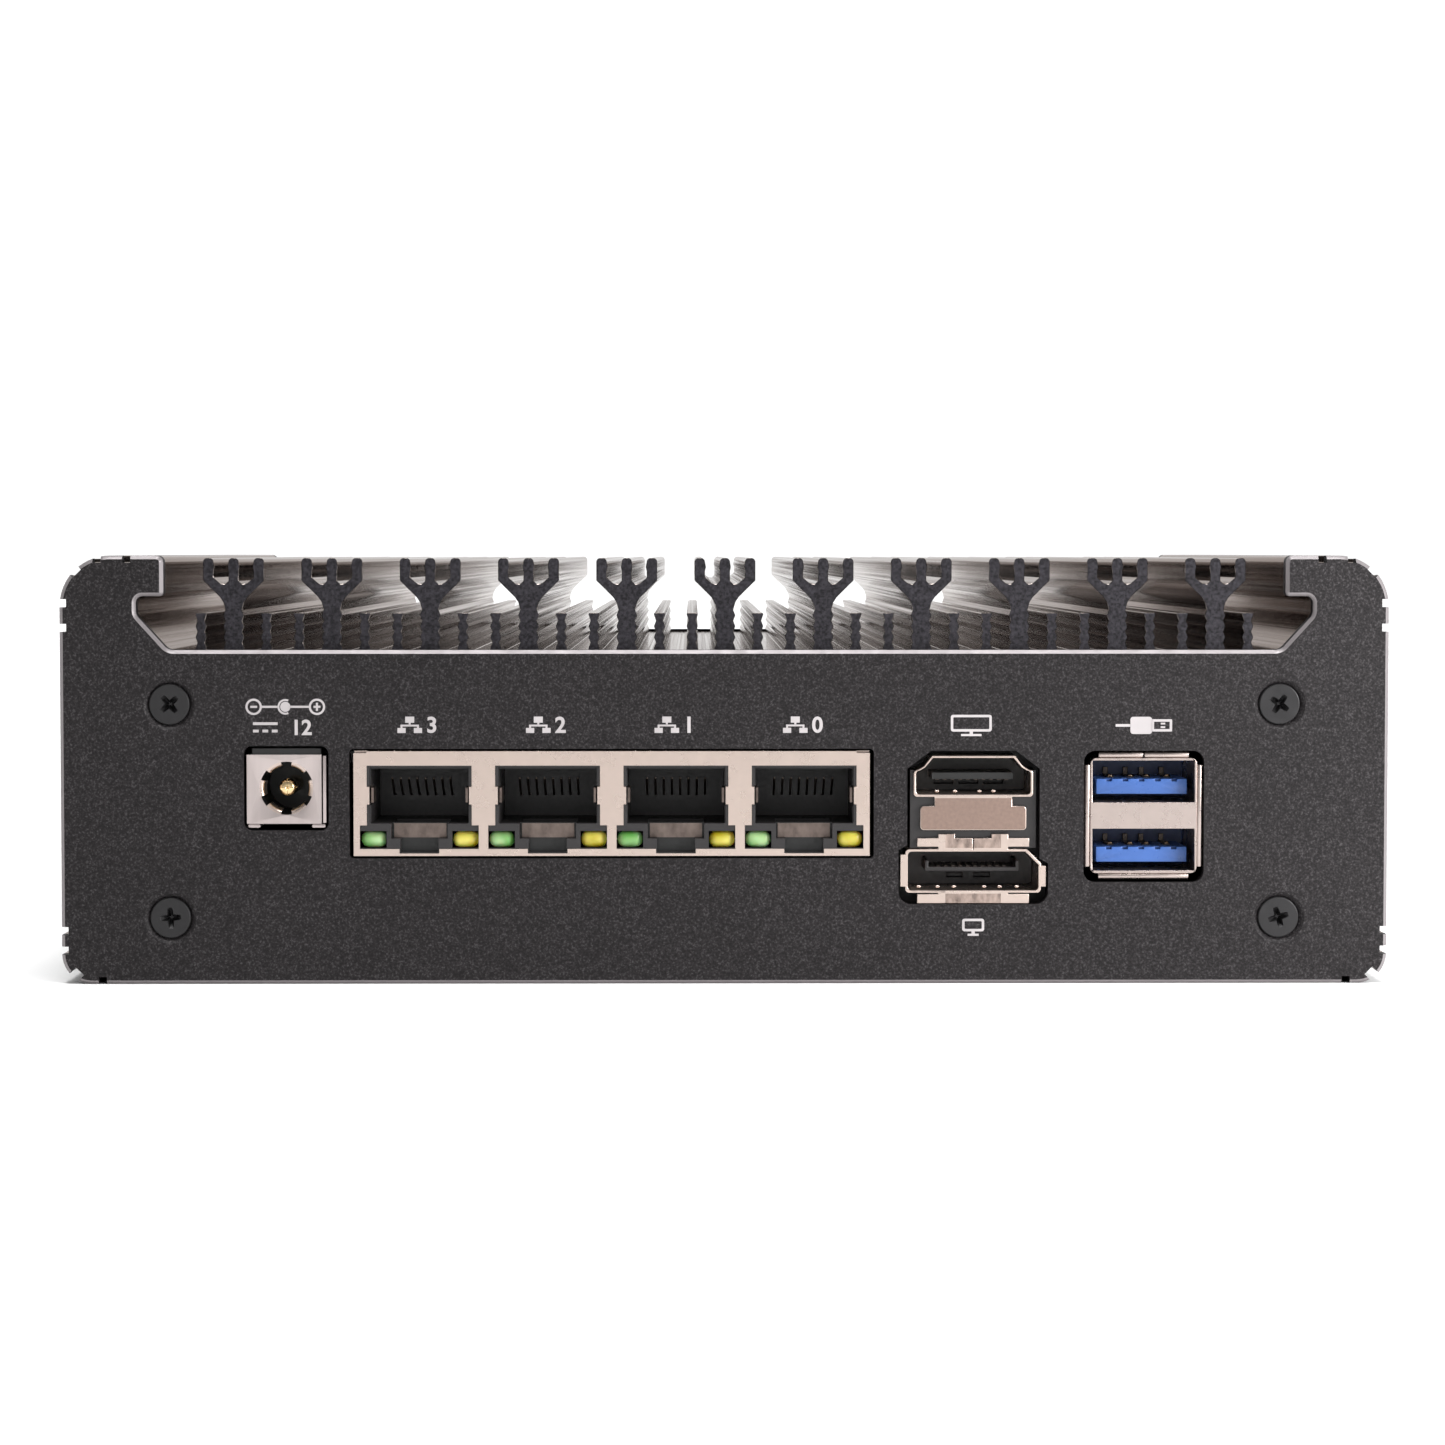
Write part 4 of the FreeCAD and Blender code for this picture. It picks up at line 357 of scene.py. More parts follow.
def arc(x, z, radius, start, sweep, steps):
    """Points along an arc, in the plane of a plate; angles are in degrees."""
    points = []
    for step in range(steps + 1):
        angle = math.radians(start + sweep * step / steps)
        points.append((x + radius * math.cos(angle), z + radius * math.sin(angle)))
    return points


def circle(x, z, radius, steps=40):
    return arc(x, z, radius, 0.0, 360.0, steps)[:-1]


def rounded_box(x_low, x_high, z_low, z_high, radius):
    points = []
    corners = ((x_high - radius, z_high - radius), (x_low + radius, z_high - radius),
               (x_low + radius, z_low + radius), (x_high - radius, z_low + radius))
    for turn, (x, z) in enumerate(corners):
        points += arc(x, z, radius, 90.0 * turn, 90.0, CORNER_STEPS)
    return points


def sharp_box(x_low, x_high, z_low, z_high):
    return [(x_low, z_low), (x_high, z_low), (x_high, z_high), (x_low, z_high)]


def add_prism(made, outline, front, back, holes=(), finish=0):
    """A flat solid between two depths, with any holes right through it."""
    sides = []
    faces = []
    for depth in (front, back):
        loops = []
        edges = []
        for points in (outline, *holes):
            corners = [made.verts.new((x, depth, z)) for x, z in points]
            loops.append(corners)
            edges += [made.edges.new((corners[i - 1], corners[i])) for i in range(len(corners))]
        filled = bmesh.ops.triangle_fill(made, use_beauty=True, edges=edges)["geom"]
        faces += [item for item in filled if isinstance(item, bmesh.types.BMFace)]
        sides.append(loops)
    for near, far in zip(*sides):
        for i in range(len(near)):
            faces.append(made.faces.new((near[i - 1], near[i], far[i], far[i - 1])))
    for face in faces:
        face.material_index = finish


def add_lathe(made, origin, along, profile, steps=32, start=0.0, sweep=360.0, closed=False, finish=0):
    """Revolve a profile of (distance along, radius); a closed one makes a ring or a sector of it."""
    along = Vector(along).normalized()
    side = Vector((0.0, 1.0, 0.0)) if abs(along.x) > 0.9 else Vector((1.0, 0.0, 0.0))
    up = along.cross(side)
    full = sweep >= 360.0
    count = steps if full else steps + 1
    angles = [math.radians(start + sweep * step / steps) for step in range(count)]
    rings = []
    for distance, radius in profile:
        centre = Vector(origin) + along * distance
        if radius < ON_AXIS:
            rings.append([made.verts.new(centre)])
            continue
        rings.append([made.verts.new(centre + (side * math.cos(angle) + up * math.sin(angle)) * radius)
                      for angle in angles])
    faces = []
    pairs = list(zip(rings, rings[1:]))
    if closed:
        pairs.append((rings[-1], rings[0]))
    for near, far in pairs:
        for step in range(count if full else count - 1):
            after = (step + 1) % count
            corners = []
            for ring_of, order in ((near, (step, after)), (far, (after, step))):
                corners += [ring_of[0]] if len(ring_of) == 1 else [ring_of[place] for place in order]
            if len(set(corners)) > 2:
                faces.append(made.faces.new(corners))
    if not full:
        faces.append(made.faces.new([ring_of[0] for ring_of in rings]))
        faces.append(made.faces.new([ring_of[-1] for ring_of in reversed(rings)]))
    for face in faces:
        face.material_index = finish


def add_rod(made, start, end, radius, finish=0):
    """A round bar with domed ends."""
    along = Vector(end) - Vector(start)
    dome = [(radius - radius * math.cos(math.radians(turn)), radius * math.sin(math.radians(turn)))
            for turn in DOME_TURNS]
    profile = dome + [(along.length - distance, size) for distance, size in reversed(dome)]
    add_lathe(made, start, along, profile, steps=16, finish=finish)


def add_text(made, text, x, z, height, front, back, weight):
    """Digits from the built-in typeface, centred on a place."""
    letters = bpy.data.curves.new("digits", "FONT")
    letters.body = text
    letters.offset = weight
    letters.align_x = "CENTER"
    holder = bpy.data.objects.new("digits", letters)
    bpy.context.scene.collection.objects.link(holder)
    depsgraph = bpy.context.evaluated_depsgraph_get()
    flat = bpy.data.meshes.new_from_object(holder.evaluated_get(depsgraph))
    top = max(vertex.co.y for vertex in flat.vertices)
    low = min(vertex.co.y for vertex in flat.vertices)
    scale = height / (top - low)
    spots = {}
    for vertex in flat.vertices:
        spot = (x + vertex.co.x * scale, z - height / 2 + (vertex.co.y - low) * scale)
        spots[vertex.index] = [made.verts.new((spot[0], depth, spot[1])) for depth in (front, back)]
    walls = {}
    for polygon in flat.polygons:
        corners = list(polygon.vertices)
        made.faces.new([spots[place][0] for place in corners])
        for first, second in zip(corners, corners[1:] + corners[:1]):
            if (second, first) in walls:
                del walls[(second, first)]
            else:
                walls[(first, second)] = True
    for first, second in walls:
        made.faces.new((spots[first][0], spots[second][0], spots[second][1], spots[first][1]))
    bpy.data.objects.remove(holder)
    bpy.data.curves.remove(letters)
    bpy.data.meshes.remove(flat)


def welded(node, place):
    """A CAD node's shape as one clean mesh, in the millimetres of a side's frame."""
    made = bmesh.new()
    made.from_mesh(frame["nodes"][node].data)
    bmesh.ops.transform(made, matrix=place.inverted() @ Matrix.Scale(1 / MM, 4), verts=made.verts)
    bmesh.ops.remove_doubles(made, verts=made.verts, dist=WELD)
    flat = math.radians(FLAT_ANGLE)
    bmesh.ops.dissolve_limit(made, angle_limit=flat, verts=made.verts, edges=made.edges)
    for face in made.faces:
        face.material_index = 0
    return made


def soften(made, width, segments=2):
    """Bevel every sharp edge a little, so that it catches the light."""
    bmesh.ops.recalc_face_normals(made, faces=made.faces)
    limit = math.radians(SHARP_ANGLE)
    edges = [edge for edge in made.edges
             if len(edge.link_faces) == 2 and edge.calc_face_angle(0.0) > limit]
    bmesh.ops.bevel(made, geom=edges, offset=width, offset_type="OFFSET", segments=segments,
                    profile=0.5, affect="EDGES", clamp_overlap=True)


def add_piece(name, made, finishes, place=WHOLE, body=CASE, replaces=(), smooth=34.0,
              flat_over=1.5):
    """Turn a built mesh into a piece that rides on a body; faces over an area in square mm stay flat."""
    bmesh.ops.recalc_face_normals(made, faces=made.faces)
    bmesh.ops.transform(made, matrix=Matrix.Scale(MM, 4) @ place, verts=made.verts)
    mesh = bpy.data.meshes.new(name)
    made.to_mesh(mesh)
    made.free()
    for layer in list(mesh.attributes):
        if layer.name == "custom_normal":
            mesh.attributes.remove(layer)
    for finish in finishes:
        mesh.materials.append(MATERIALS[finish])
    mesh.set_sharp_from_angle(angle=math.radians(smooth))
    mesh.polygons.foreach_set("use_smooth", [face.area < flat_over * MM * MM for face in mesh.polygons])
    piece = bpy.data.objects.new(name, mesh)
    bpy.context.scene.collection.objects.link(piece)
    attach(piece, body)
    if replaces:
        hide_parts(*replaces)
    return piece


# ---------------------------------------------------------------- case

HEAD_RADIUS = 2.8
HEAD_SUNK = 0.2
# Depths under the top of the head, with radii.
HEAD_PROFILE = ((0.0, 2.34), (0.04, 2.42), (0.13, 2.49), (0.3, 2.52), (1.35, 1.45))
SHANK_RADIUS = 1.45
TIP_LENGTH = 0.4
TIP_RADIUS = 1.0
PLATE_SCREW_LENGTH = 8.4
COVER_SCREW_LENGTH = 6.9
# Degrees from the middle of a petal of the cross recess, with distances from the screw's middle.
PETAL = ((-45.0, 0.56), (-19.0, 1.05), (-11.0, 1.30), (11.0, 1.30), (19.0, 1.05))
# Depths in the recess, with its scale there.
RECESS_STEPS = ((0.0, 1.0), (0.08, 0.93), (0.75, 0.62), (1.2, 0.2))
SCREW_CLEARING = 4.0
# A chamfer's normal has a forward share between these two.
CHAMFER_SLOPES = (0.5, 0.9)
FACING_END = 0.9
FACING_UP = 0.5
FACING_OUT = 0.1
SHOULDER_WIDTH = 12.0
SHOULDER_SKIN = 1.0
PORT_TURNS = (4.0, 42.0, 17.0, 55.0)
PLAIN_TURNS = (0.0, 25.0, 50.0, 75.0)


def screw_spots(node, place):
    """The middles of four screws at the corners of a node's box, in a side's frame."""
    low, high = (place.inverted() @ corner for corner in node_box(node))
    x_ends = sorted((low.x, high.x))
    z_ends = sorted((low.z, high.z))
    return [(x, z) for x in (x_ends[0] + HEAD_RADIUS, x_ends[1] - HEAD_RADIUS)
            for z in (z_ends[0] + HEAD_RADIUS, z_ends[1] - HEAD_RADIUS)]


def end_plate(node, screws, place):
    """The CAD plate with its cut edges polished bright."""
    made = welded(node, place)
    spots = screw_spots(screws, place)
    for face in made.faces:
        slope = abs(face.normal.y)
        middle = face.calc_center_median()
        near_screw = any(math.hypot(middle.x - x, middle.z - z) < SCREW_CLEARING for x, z in spots)
        if CHAMFER_SLOPES[0] < slope < CHAMFER_SLOPES[1] and not near_screw:
            face.material_index = 1
    soften(made, 0.05, 1)
    add_piece(node + "_skin", made, ("plate", "edge"), place, replaces=(node,))


def recess_outline(x, z, turn, scale):
    """A cross recess with four rounded petals."""
    points = []
    for arm in range(4):
        heading = turn + 90.0 * arm
        for bearing, reach in PETAL:
            angle = math.radians(heading + bearing)
            points.append((x + reach * scale * math.cos(angle), z + reach * scale * math.sin(angle)))
    return points


def add_screw(made, x, z, turn, length):
    """A countersunk screw with a cross recess; the top of its head lies just under the surface."""
    top = HEAD_SUNK
    rings = []
    profile = (*HEAD_PROFILE, (length, SHANK_RADIUS), (length + TIP_LENGTH, TIP_RADIUS))
    for depth, radius in profile:
        rings.append([made.verts.new((px, top + depth, pz)) for px, pz in circle(x, z, radius)])
    recess = []
    for depth, scale in RECESS_STEPS:
        points = recess_outline(x, z, turn, scale)
        recess.append([made.verts.new((px, top + depth, pz)) for px, pz in points])
    for loops in (rings, recess):
        for near, far in zip(loops, loops[1:]):
            for i in range(len(near)):
                made.faces.new((near[i - 1], near[i], far[i], far[i - 1]))
    made.faces.new(rings[-1])
    made.faces.new(recess[-1])
    edges = []
    for loop in (rings[0], recess[0]):
        edges += [made.edges.get((loop[i - 1], loop[i])) for i in range(len(loop))]
    bmesh.ops.triangle_fill(made, use_beauty=True, edges=edges)


def screw_set(node, place, turns, length):
    made = bmesh.new()
    for (x, z), turn in zip(screw_spots(node, place), turns):
        add_screw(made, x, z, turn, length)
    add_piece(node + "_heads", made, ("screw",), place, replaces=(node,), smooth=25.0)


def case_pieces():
    end_plate("rear_panel", "rear_panel_screws", PORT_SIDE)
    end_plate("front_panel", "front_panel_screws", BUTTON_SIDE)
    screw_set("rear_panel_screws", PORT_SIDE, PORT_TURNS, PLATE_SCREW_LENGTH)
    screw_set("front_panel_screws", BUTTON_SIDE, PLAIN_TURNS, PLATE_SCREW_LENGTH)
    screw_set("bottom_cover_screws", UNDERSIDE, PLAIN_TURNS, COVER_SCREW_LENGTH)
    housing_skin()
    made = welded("bottom_cover", WHOLE)
    soften(made, 0.15, 2)
    add_piece("cover_skin", made, ("plate",), replaces=("bottom_cover",),
              flat_over=math.inf)


def housing_skin():
    """The extrusion: streaked fins with sawn ends; shoulders and side walls blasted like the plates."""
    made = welded("heatsink_housing", WHOLE)
    high = node_box("heatsink_housing")[1]
    for face in made.faces:
        middle = face.calc_center_median()
        outward = math.copysign(face.normal.x, face.normal.x * middle.x)
        on_shoulder = middle.z > high.z - SHOULDER_SKIN and face.normal.z > FACING_UP
        if abs(face.normal.y) > FACING_END:
            face.material_index = 1
        elif abs(middle.x) > high.x - SHOULDER_WIDTH and (outward > FACING_OUT or on_shoulder):
            face.material_index = 2
    soften(made, 0.07, 1)
    add_piece("housing_skin", made, ("extrusion", "sawn", "plate"),
              replaces=("heatsink_housing",), flat_over=math.inf)


# ---------------------------------------------------------------- power inlet

SHEET = 0.3
MOUTH_RADIUS = 3.25
FACE_RISE = 0.5
FOLD_WIDTH = 0.55
FOLD_GAP = 0.17
FEET_LENGTH = 4.0
FEET_HEIGHT = 0.42
FINGERS = 6
FINGER_SWEEP = 36.0
PETALS = 4
PETAL_GAP = 6.0
PIN_BASE = 1.5
GREY_BAND = 0.6


def inlet_shell():
    """The folded metal face with its round mouth and six bent fingers."""
    low, high = node_box("dc_inlet_shell")
    low, high = PORT_SIDE.inverted() @ low, PORT_SIDE.inverted() @ high
    spot = mount_spot("power_in")
    mouth = MOUTH_RADIUS
    front = low.y
    made = bmesh.new()
    face_low = low.z + FACE_RISE
    fold = high.x - FOLD_WIDTH
    add_prism(made, sharp_box(low.x, fold, face_low, high.z), front, front + SHEET,
              [circle(spot.x, spot.z, mouth, 48)])
    side_wall = sharp_box(fold + FOLD_GAP, high.x, face_low + 0.1, high.z - 0.15)
    add_prism(made, side_wall, front + 0.12, high.y)
    add_prism(made, sharp_box(low.x, low.x + SHEET, face_low, high.z), front + SHEET, high.y)
    for x_low, x_high in ((low.x + 0.1, low.x + 1.6), (high.x - 1.75, high.x - 0.1)):
        foot = rounded_box(x_low, x_high, low.z, low.z + FEET_HEIGHT, 0.18)
        add_prism(made, foot, front + SHEET, front + FEET_LENGTH)
    soften(made, 0.07, 2)
    finger = [(0.02, mouth + 0.03), (0.03, mouth - 0.14), (0.09, mouth - 0.3), (0.24, mouth - 0.44),
              (0.55, mouth - 0.54), (1.1, mouth - 0.58), (2.6, mouth - 0.6), (2.6, mouth - 0.45),
              (1.1, mouth - 0.43), (0.66, mouth - 0.38), (0.42, mouth - 0.26), (0.26, mouth + 0.0)]
    for number in range(FINGERS):
        start = 360.0 / FINGERS * number - FINGER_SWEEP / 2
        add_lathe(made, (spot.x, front, spot.z), (0, 1, 0), finger, steps=8, start=start,
                  sweep=FINGER_SWEEP, closed=True, finish=1)
    add_piece("inlet_face", made, ("brushed", "nickel"), PORT_SIDE,
              replaces=("dc_inlet_shell", "dc_inlet_spring_contact"))


def inlet_pin():
    """A gold pin split into four petals around a small hole."""
    low, high = node_box("dc_inlet_pin")
    low, high = PORT_SIDE.inverted() @ low, PORT_SIDE.inverted() @ high
    spot = mount_spot("power_in")
    radius = (high.x - low.x) / 2
    made = bmesh.new()
    petal = [(1.6, 0.16), (0.06, 0.16), (0.0, 0.24), (0.04, radius * 0.45), (0.14, radius * 0.7),
             (0.32, radius * 0.9), (0.6, radius), (1.6, radius)]
    for number in range(PETALS):
        start = 360.0 / PETALS * number + PETAL_GAP / 2
        add_lathe(made, (spot.x, low.y, spot.z), (0, 1, 0), petal, steps=10, start=start,
                  sweep=360.0 / PETALS - PETAL_GAP, closed=True)
    length = high.y - low.y
    add_lathe(made, (spot.x, low.y, spot.z), (0, 1, 0),
              [(PIN_BASE, 0.0), (PIN_BASE, radius * 0.98), (length, radius), (length, 0.0)])
    add_piece("inlet_pin", made, ("gold",), PORT_SIDE, replaces=("dc_inlet_pin",))


def inlet_core():
    """The black moulding; a grey band of it shows above the metal face."""
    made = welded("dc_inlet_insulator", PORT_SIDE)
    band = node_box("dc_inlet_shell")[1].z
    soften(made, 0.12, 2)
    for face in made.faces:
        if face.calc_center_median().z > band - GREY_BAND:
            face.material_index = 1
    add_piece("inlet_core", made, ("black", "grey"), PORT_SIDE,
              replaces=("dc_inlet_insulator",))


# ---------------------------------------------------------------- network ports

LATCH_RISE = 2.15
LATCH_HALF = 3.2
LATCH_SHEET = 0.15
# Each step's lowest and highest edge over the latch's foot, and the depth of its face.
LATCH_STEPS = ((0.0, 0.6, 2.05), (0.6, 1.75, 1.95))
SLOT_DEPTHS = (1.5, 4.0)
SLOT_FLOOR = 0.5
SLOT_TOP = 3.0
SIDE_SPRING_OFFSET = 5.75
SIDE_SPRING_HALF = 0.14
SIDE_SPRING_HEIGHTS = (22.15, 23.95)
SIDE_SPRING_DEPTHS = (1.0, 4.8)
DIMPLE_MIDDLE = 3.1
DIMPLE_OFFSETS = (-1.9, 0.0, 1.9)
DIMPLE_DEPTHS = (0.7, 1.2)
CONTACTS = 8
CONTACT_PITCH = 1.02
CONTACT_RADIUS = 0.15
# Depths along a contact, with its drop below the top of the CAD contacts.
CONTACT_PATH = ((3.8, 0.9), (7.6, 3.2), (9.4, 3.3))


def port_centres():
    return [mount_spot(f"network_{number}").x for number in (1, 2, 3, 4)]


def add_port_springs(made, port, foot, top):
    """What the sheet metal shows at one port: a stepped latch plate, two side springs, three dimples."""
    # Finish 1 on the latch plates is painted shade: a darkened copy of the shield's nickel.
    for step_low, step_high, front in LATCH_STEPS:
        plate = sharp_box(port - LATCH_HALF, port + LATCH_HALF, foot + step_low, foot + step_high)
        add_prism(made, plate, front, front + LATCH_SHEET, finish=1)
    for side in (-1, 1):
        x = port + side * SIDE_SPRING_OFFSET
        spring = sharp_box(x - SIDE_SPRING_HALF, x + SIDE_SPRING_HALF, *SIDE_SPRING_HEIGHTS)
        add_prism(made, spring, *SIDE_SPRING_DEPTHS, finish=1)
    for offset in DIMPLE_OFFSETS:
        x = port - DIMPLE_MIDDLE + offset
        add_rod(made, (x, DIMPLE_DEPTHS[0], top), (x, DIMPLE_DEPTHS[1], top), 0.14)


def network_shield():
    """The shield over four ports, with plates in the latch slots painted dark as shade and black behind
    them.
    """
    made = welded("lan_shield", PORT_SIDE)
    low, high = node_box("lan_shield")
    soften(made, 0.06, 2)
    for face in made.faces:
        middle = face.calc_center_median()
        at_depth = SLOT_DEPTHS[0] < middle.y < SLOT_DEPTHS[1]
        if at_depth and low.z + SLOT_FLOOR < middle.z < low.z + LATCH_RISE + SLOT_TOP:
            face.material_index = 2
    for port in port_centres():
        add_port_springs(made, port, low.z + LATCH_RISE, high.z)
    add_piece("network_shield", made, ("nickel", "latch", "black"), PORT_SIDE,
              replaces=("lan_shield",))


def network_lights():
    for node, finish in (("lan_green_lights", "green_light"), ("lan_yellow_lights", "yellow_light")):
        made = welded(node, PORT_SIDE)
        soften(made, 0.95, 6)
        add_piece(node + "_lens", made, (finish,), PORT_SIDE, replaces=(node,), smooth=60.0)


def network_contacts():
    """Eight wires in each port that slope down towards the back."""
    made = bmesh.new()
    top = node_box("lan_contacts")[1].z
    for port in port_centres():
        for step in range(CONTACTS):
            x = port + (step - (CONTACTS - 1) / 2) * CONTACT_PITCH
            for (depth, drop), (next_depth, next_drop) in zip(CONTACT_PATH, CONTACT_PATH[1:]):
                add_rod(made, (x, depth, top - drop), (x, next_depth, top - next_drop), CONTACT_RADIUS)
    add_piece("network_contacts", made, ("dull",), PORT_SIDE, replaces=("lan_contacts",))


def network_ports():
    network_shield()
    made = welded("lan_inserts", PORT_SIDE)
    soften(made, 0.06, 2)
    add_piece("network_inserts", made, ("grey",), PORT_SIDE, replaces=("lan_inserts",))
    network_lights()
    network_contacts()


# ---------------------------------------------------------------- video ports

# A shell's outer face is painted darker between certain heights, out to a distance from the middle:
# painted shade for its bent tabs.
VIDEO_SHELLS = (
    {"node": "upper_video_shell", "finish": "upper_flap_shade", "shade_half": 8.0, "bands": ((18.0, 22.7),),
     "floor": 23.5, "springs": (-4.4, -2.2, 0.8, 2.5)},
    {"node": "lower_video_shell", "finish": "lower_flap_shade_streaked", "shade_half": 3.4,
     "bands": ((8.0, 11.0), (16.6, 19.0)), "floor": 11.8,
     "springs": (-6.6, -4.3, -2.3, 1.4, 3.3, 5.4)},
)
FACING_FRONT = 0.9
SPRING_DEPTH = 1.2
SPRING_HALF = 0.3
SPRING_RADIUS = 0.16


def video_shell(node, finish, shade_half, bands, floor, springs):
    """A sheet-metal shell with painted shade in areas of its face and small springs along its floor."""
    made = welded(node, PORT_SIDE)
    centre = mount_spot("video_lower").x
    cuts = [((0, 0, level), (0, 0, 1)) for band in bands for level in band]
    cuts += [((centre + side * shade_half, 0, 0), (1, 0, 0)) for side in (-1, 1)]
    for spot, normal in cuts:
        everything = list(made.verts) + list(made.edges) + list(made.faces)
        bmesh.ops.bisect_plane(made, geom=everything, plane_co=spot, plane_no=normal)
    for face in made.faces:
        middle = face.calc_center_median()
        in_band = any(low < middle.z < high for low, high in bands)
        # Front faces inside the bands take the darker copy of the nickel: painted shade.
        if face.normal.y < -FACING_FRONT and in_band and abs(middle.x - centre) < shade_half:
            face.material_index = 1
    soften(made, 0.08, 2)
    for offset in springs:
        x = centre + offset
        add_rod(made, (x - SPRING_HALF, SPRING_DEPTH, floor), (x + SPRING_HALF, SPRING_DEPTH, floor),
                SPRING_RADIUS)
    add_piece(node + "_skin", made, ("nickel", finish), PORT_SIDE, replaces=(node,))


def video_ports():
    for shell in VIDEO_SHELLS:
        video_shell(**shell)
    for node, finish in (("video_stack_body", "grey"), ("upper_video_tongue", "black"),
                         ("lower_video_tongue", "grey")):
        made = welded(node, PORT_SIDE)
        soften(made, 0.08, 2)
        add_piece(node + "_skin", made, (finish,), PORT_SIDE, replaces=(node,))


# ---------------------------------------------------------------- serial-bus stacks

TONGUE_HALF = 5.55
TONGUE_RISE = 0.9
TONGUE_THICK = 1.84
TONGUE_FRONT = 1.1
BLOCK_DEEP = 5.0
BUS_PORT_HIGH = 5.11
NOTCH_PITCH = 2.0
NOTCH_HALF = 0.35
NOTCH_DEEP = 0.3
STRIP_LEVEL = 8.35
STRIP_THICK = 0.15
STRIP_HALF = 0.45
STRIP_OFFSETS = (-3.5, -1.0, 1.0, 3.5)
STRIP_DEPTHS = (5.6, 11.6)
POST_FRONT = 11.2
POST_HIGH = 1.0
POST_INSET = 0.15
PAD_DEPTH = 5.9
PAD_RISE = 0.22
PAD_HALF = 0.3
PAD_RADIUS = 0.2


def stack_shell(prefix, place):
    made = welded(prefix + "_shell", place)
    soften(made, 0.07, 2)
    # The shell takes the darker copy of the nickel: painted shade.
    add_piece(prefix + "_skin", made, ("shaded_nickel",), place, replaces=(prefix + "_shell",))


def stack_tongues(prefix, place, finishes):
    """Two tongues with five small notches along the front edge, on blocks in the second finish, which on
    the blue stack is painted darker as shade.
    """
    node = prefix + "_tongues"
    low, high = (place.inverted() @ corner for corner in node_box(node))
    x_low, x_high = sorted((low.x, high.x))
    y_low, y_high = sorted((low.y, high.y))
    centre = (x_low + x_high) / 2
    left, right = centre - TONGUE_HALF, centre + TONGUE_HALF
    front, back = y_low + TONGUE_FRONT, y_high - BLOCK_DEEP
    made = bmesh.new()
    for floor in (low.z, high.z - BUS_PORT_HIGH):
        z_low, z_high = floor + TONGUE_RISE, floor + TONGUE_RISE + TONGUE_THICK
        outline = [(left, z_low), (right, z_low), (right, z_high)]
        for step in (2, 1, 0, -1, -2):
            middle = centre + NOTCH_PITCH * step
            for x, z in ((NOTCH_HALF, 0.0), (NOTCH_HALF, -NOTCH_DEEP),
                         (-NOTCH_HALF, -NOTCH_DEEP), (-NOTCH_HALF, 0.0)):
                outline.append((middle + x, z_high + z))
        outline.append((left, z_high))
        add_prism(made, outline, y_low, front)
        add_prism(made, sharp_box(left, right, z_low, z_high), front, back)
        # Finish 1 on the back blocks: painted shade on the blue stack.
        add_prism(made, sharp_box(x_low, x_high, floor, floor + BUS_PORT_HIGH), back, y_high, finish=1)
    soften(made, 0.06, 2)
    add_piece(prefix + "_tongue_pair", made, finishes, place, replaces=(node,))


def stack_contacts(prefix, place):
    """Springy strips on each tongue that rise into posts at the back."""
    node = prefix + "_contacts"
    low, high = (place.inverted() @ corner for corner in node_box(node))
    centre = (low.x + high.x) / 2
    made = bmesh.new()
    for floor in (low.z, low.z + STRIP_LEVEL):
        for offset in STRIP_OFFSETS:
            x = centre + offset
            x_low, x_high = x - STRIP_HALF, x + STRIP_HALF
            add_prism(made, sharp_box(x_low, x_high, floor, floor + STRIP_THICK), *STRIP_DEPTHS)
            pad = floor + PAD_RISE
            add_rod(made, (x - PAD_HALF, PAD_DEPTH, pad), (x + PAD_HALF, PAD_DEPTH, pad), PAD_RADIUS,
                    finish=1)
            post = sharp_box(x_low + POST_INSET, x_high - POST_INSET, floor, floor + POST_HIGH)
            add_prism(made, post, POST_FRONT, STRIP_DEPTHS[1])
    soften(made, 0.04, 1)
    add_piece(prefix + "_contact_set", made, ("dull", "bronze"), place, replaces=(node,))


def serial_stack(prefix, place, finishes):
    stack_shell(prefix, place)
    stack_tongues(prefix, place, finishes)
    stack_contacts(prefix, place)


def serial_stacks():
    # The second blue is the same plastic, painted darker as shade.
    serial_stack("rear_stack", PORT_SIDE, ("blue", "shaded_blue"))
    serial_stack("front_stack", BUTTON_SIDE, ("black", "black"))


# ---------------------------------------------------------------- printed marks

INK_FRONT = -0.02
INK_BACK = 0.01
DIGIT_WEIGHT = 0.025
POLARITY_HEIGHT = 33.9
CURRENT_HEIGHT = 31.4
NETWORK_HEIGHT = 31.7
PICTURE_HEIGHT = 31.6
LOW_SCREEN_HEIGHT = 6.9
CONTROL_HEIGHT = 33.4
PIPE_INSET = 1.4


def ink(made, outline, holes=()):
    add_prism(made, outline, INK_FRONT, INK_BACK, holes)


def ink_box(made, x_low, x_high, z_low, z_high):
    ink(made, sharp_box(x_low, x_high, z_low, z_high))


def ink_ring(made, x, z, outer, inner):
    ink(made, circle(x, z, outer, 32), [circle(x, z, inner, 32)])


def ink_digit(made, text, x, z, height):
    add_text(made, text, x, z, height, INK_FRONT, INK_BACK, DIGIT_WEIGHT)


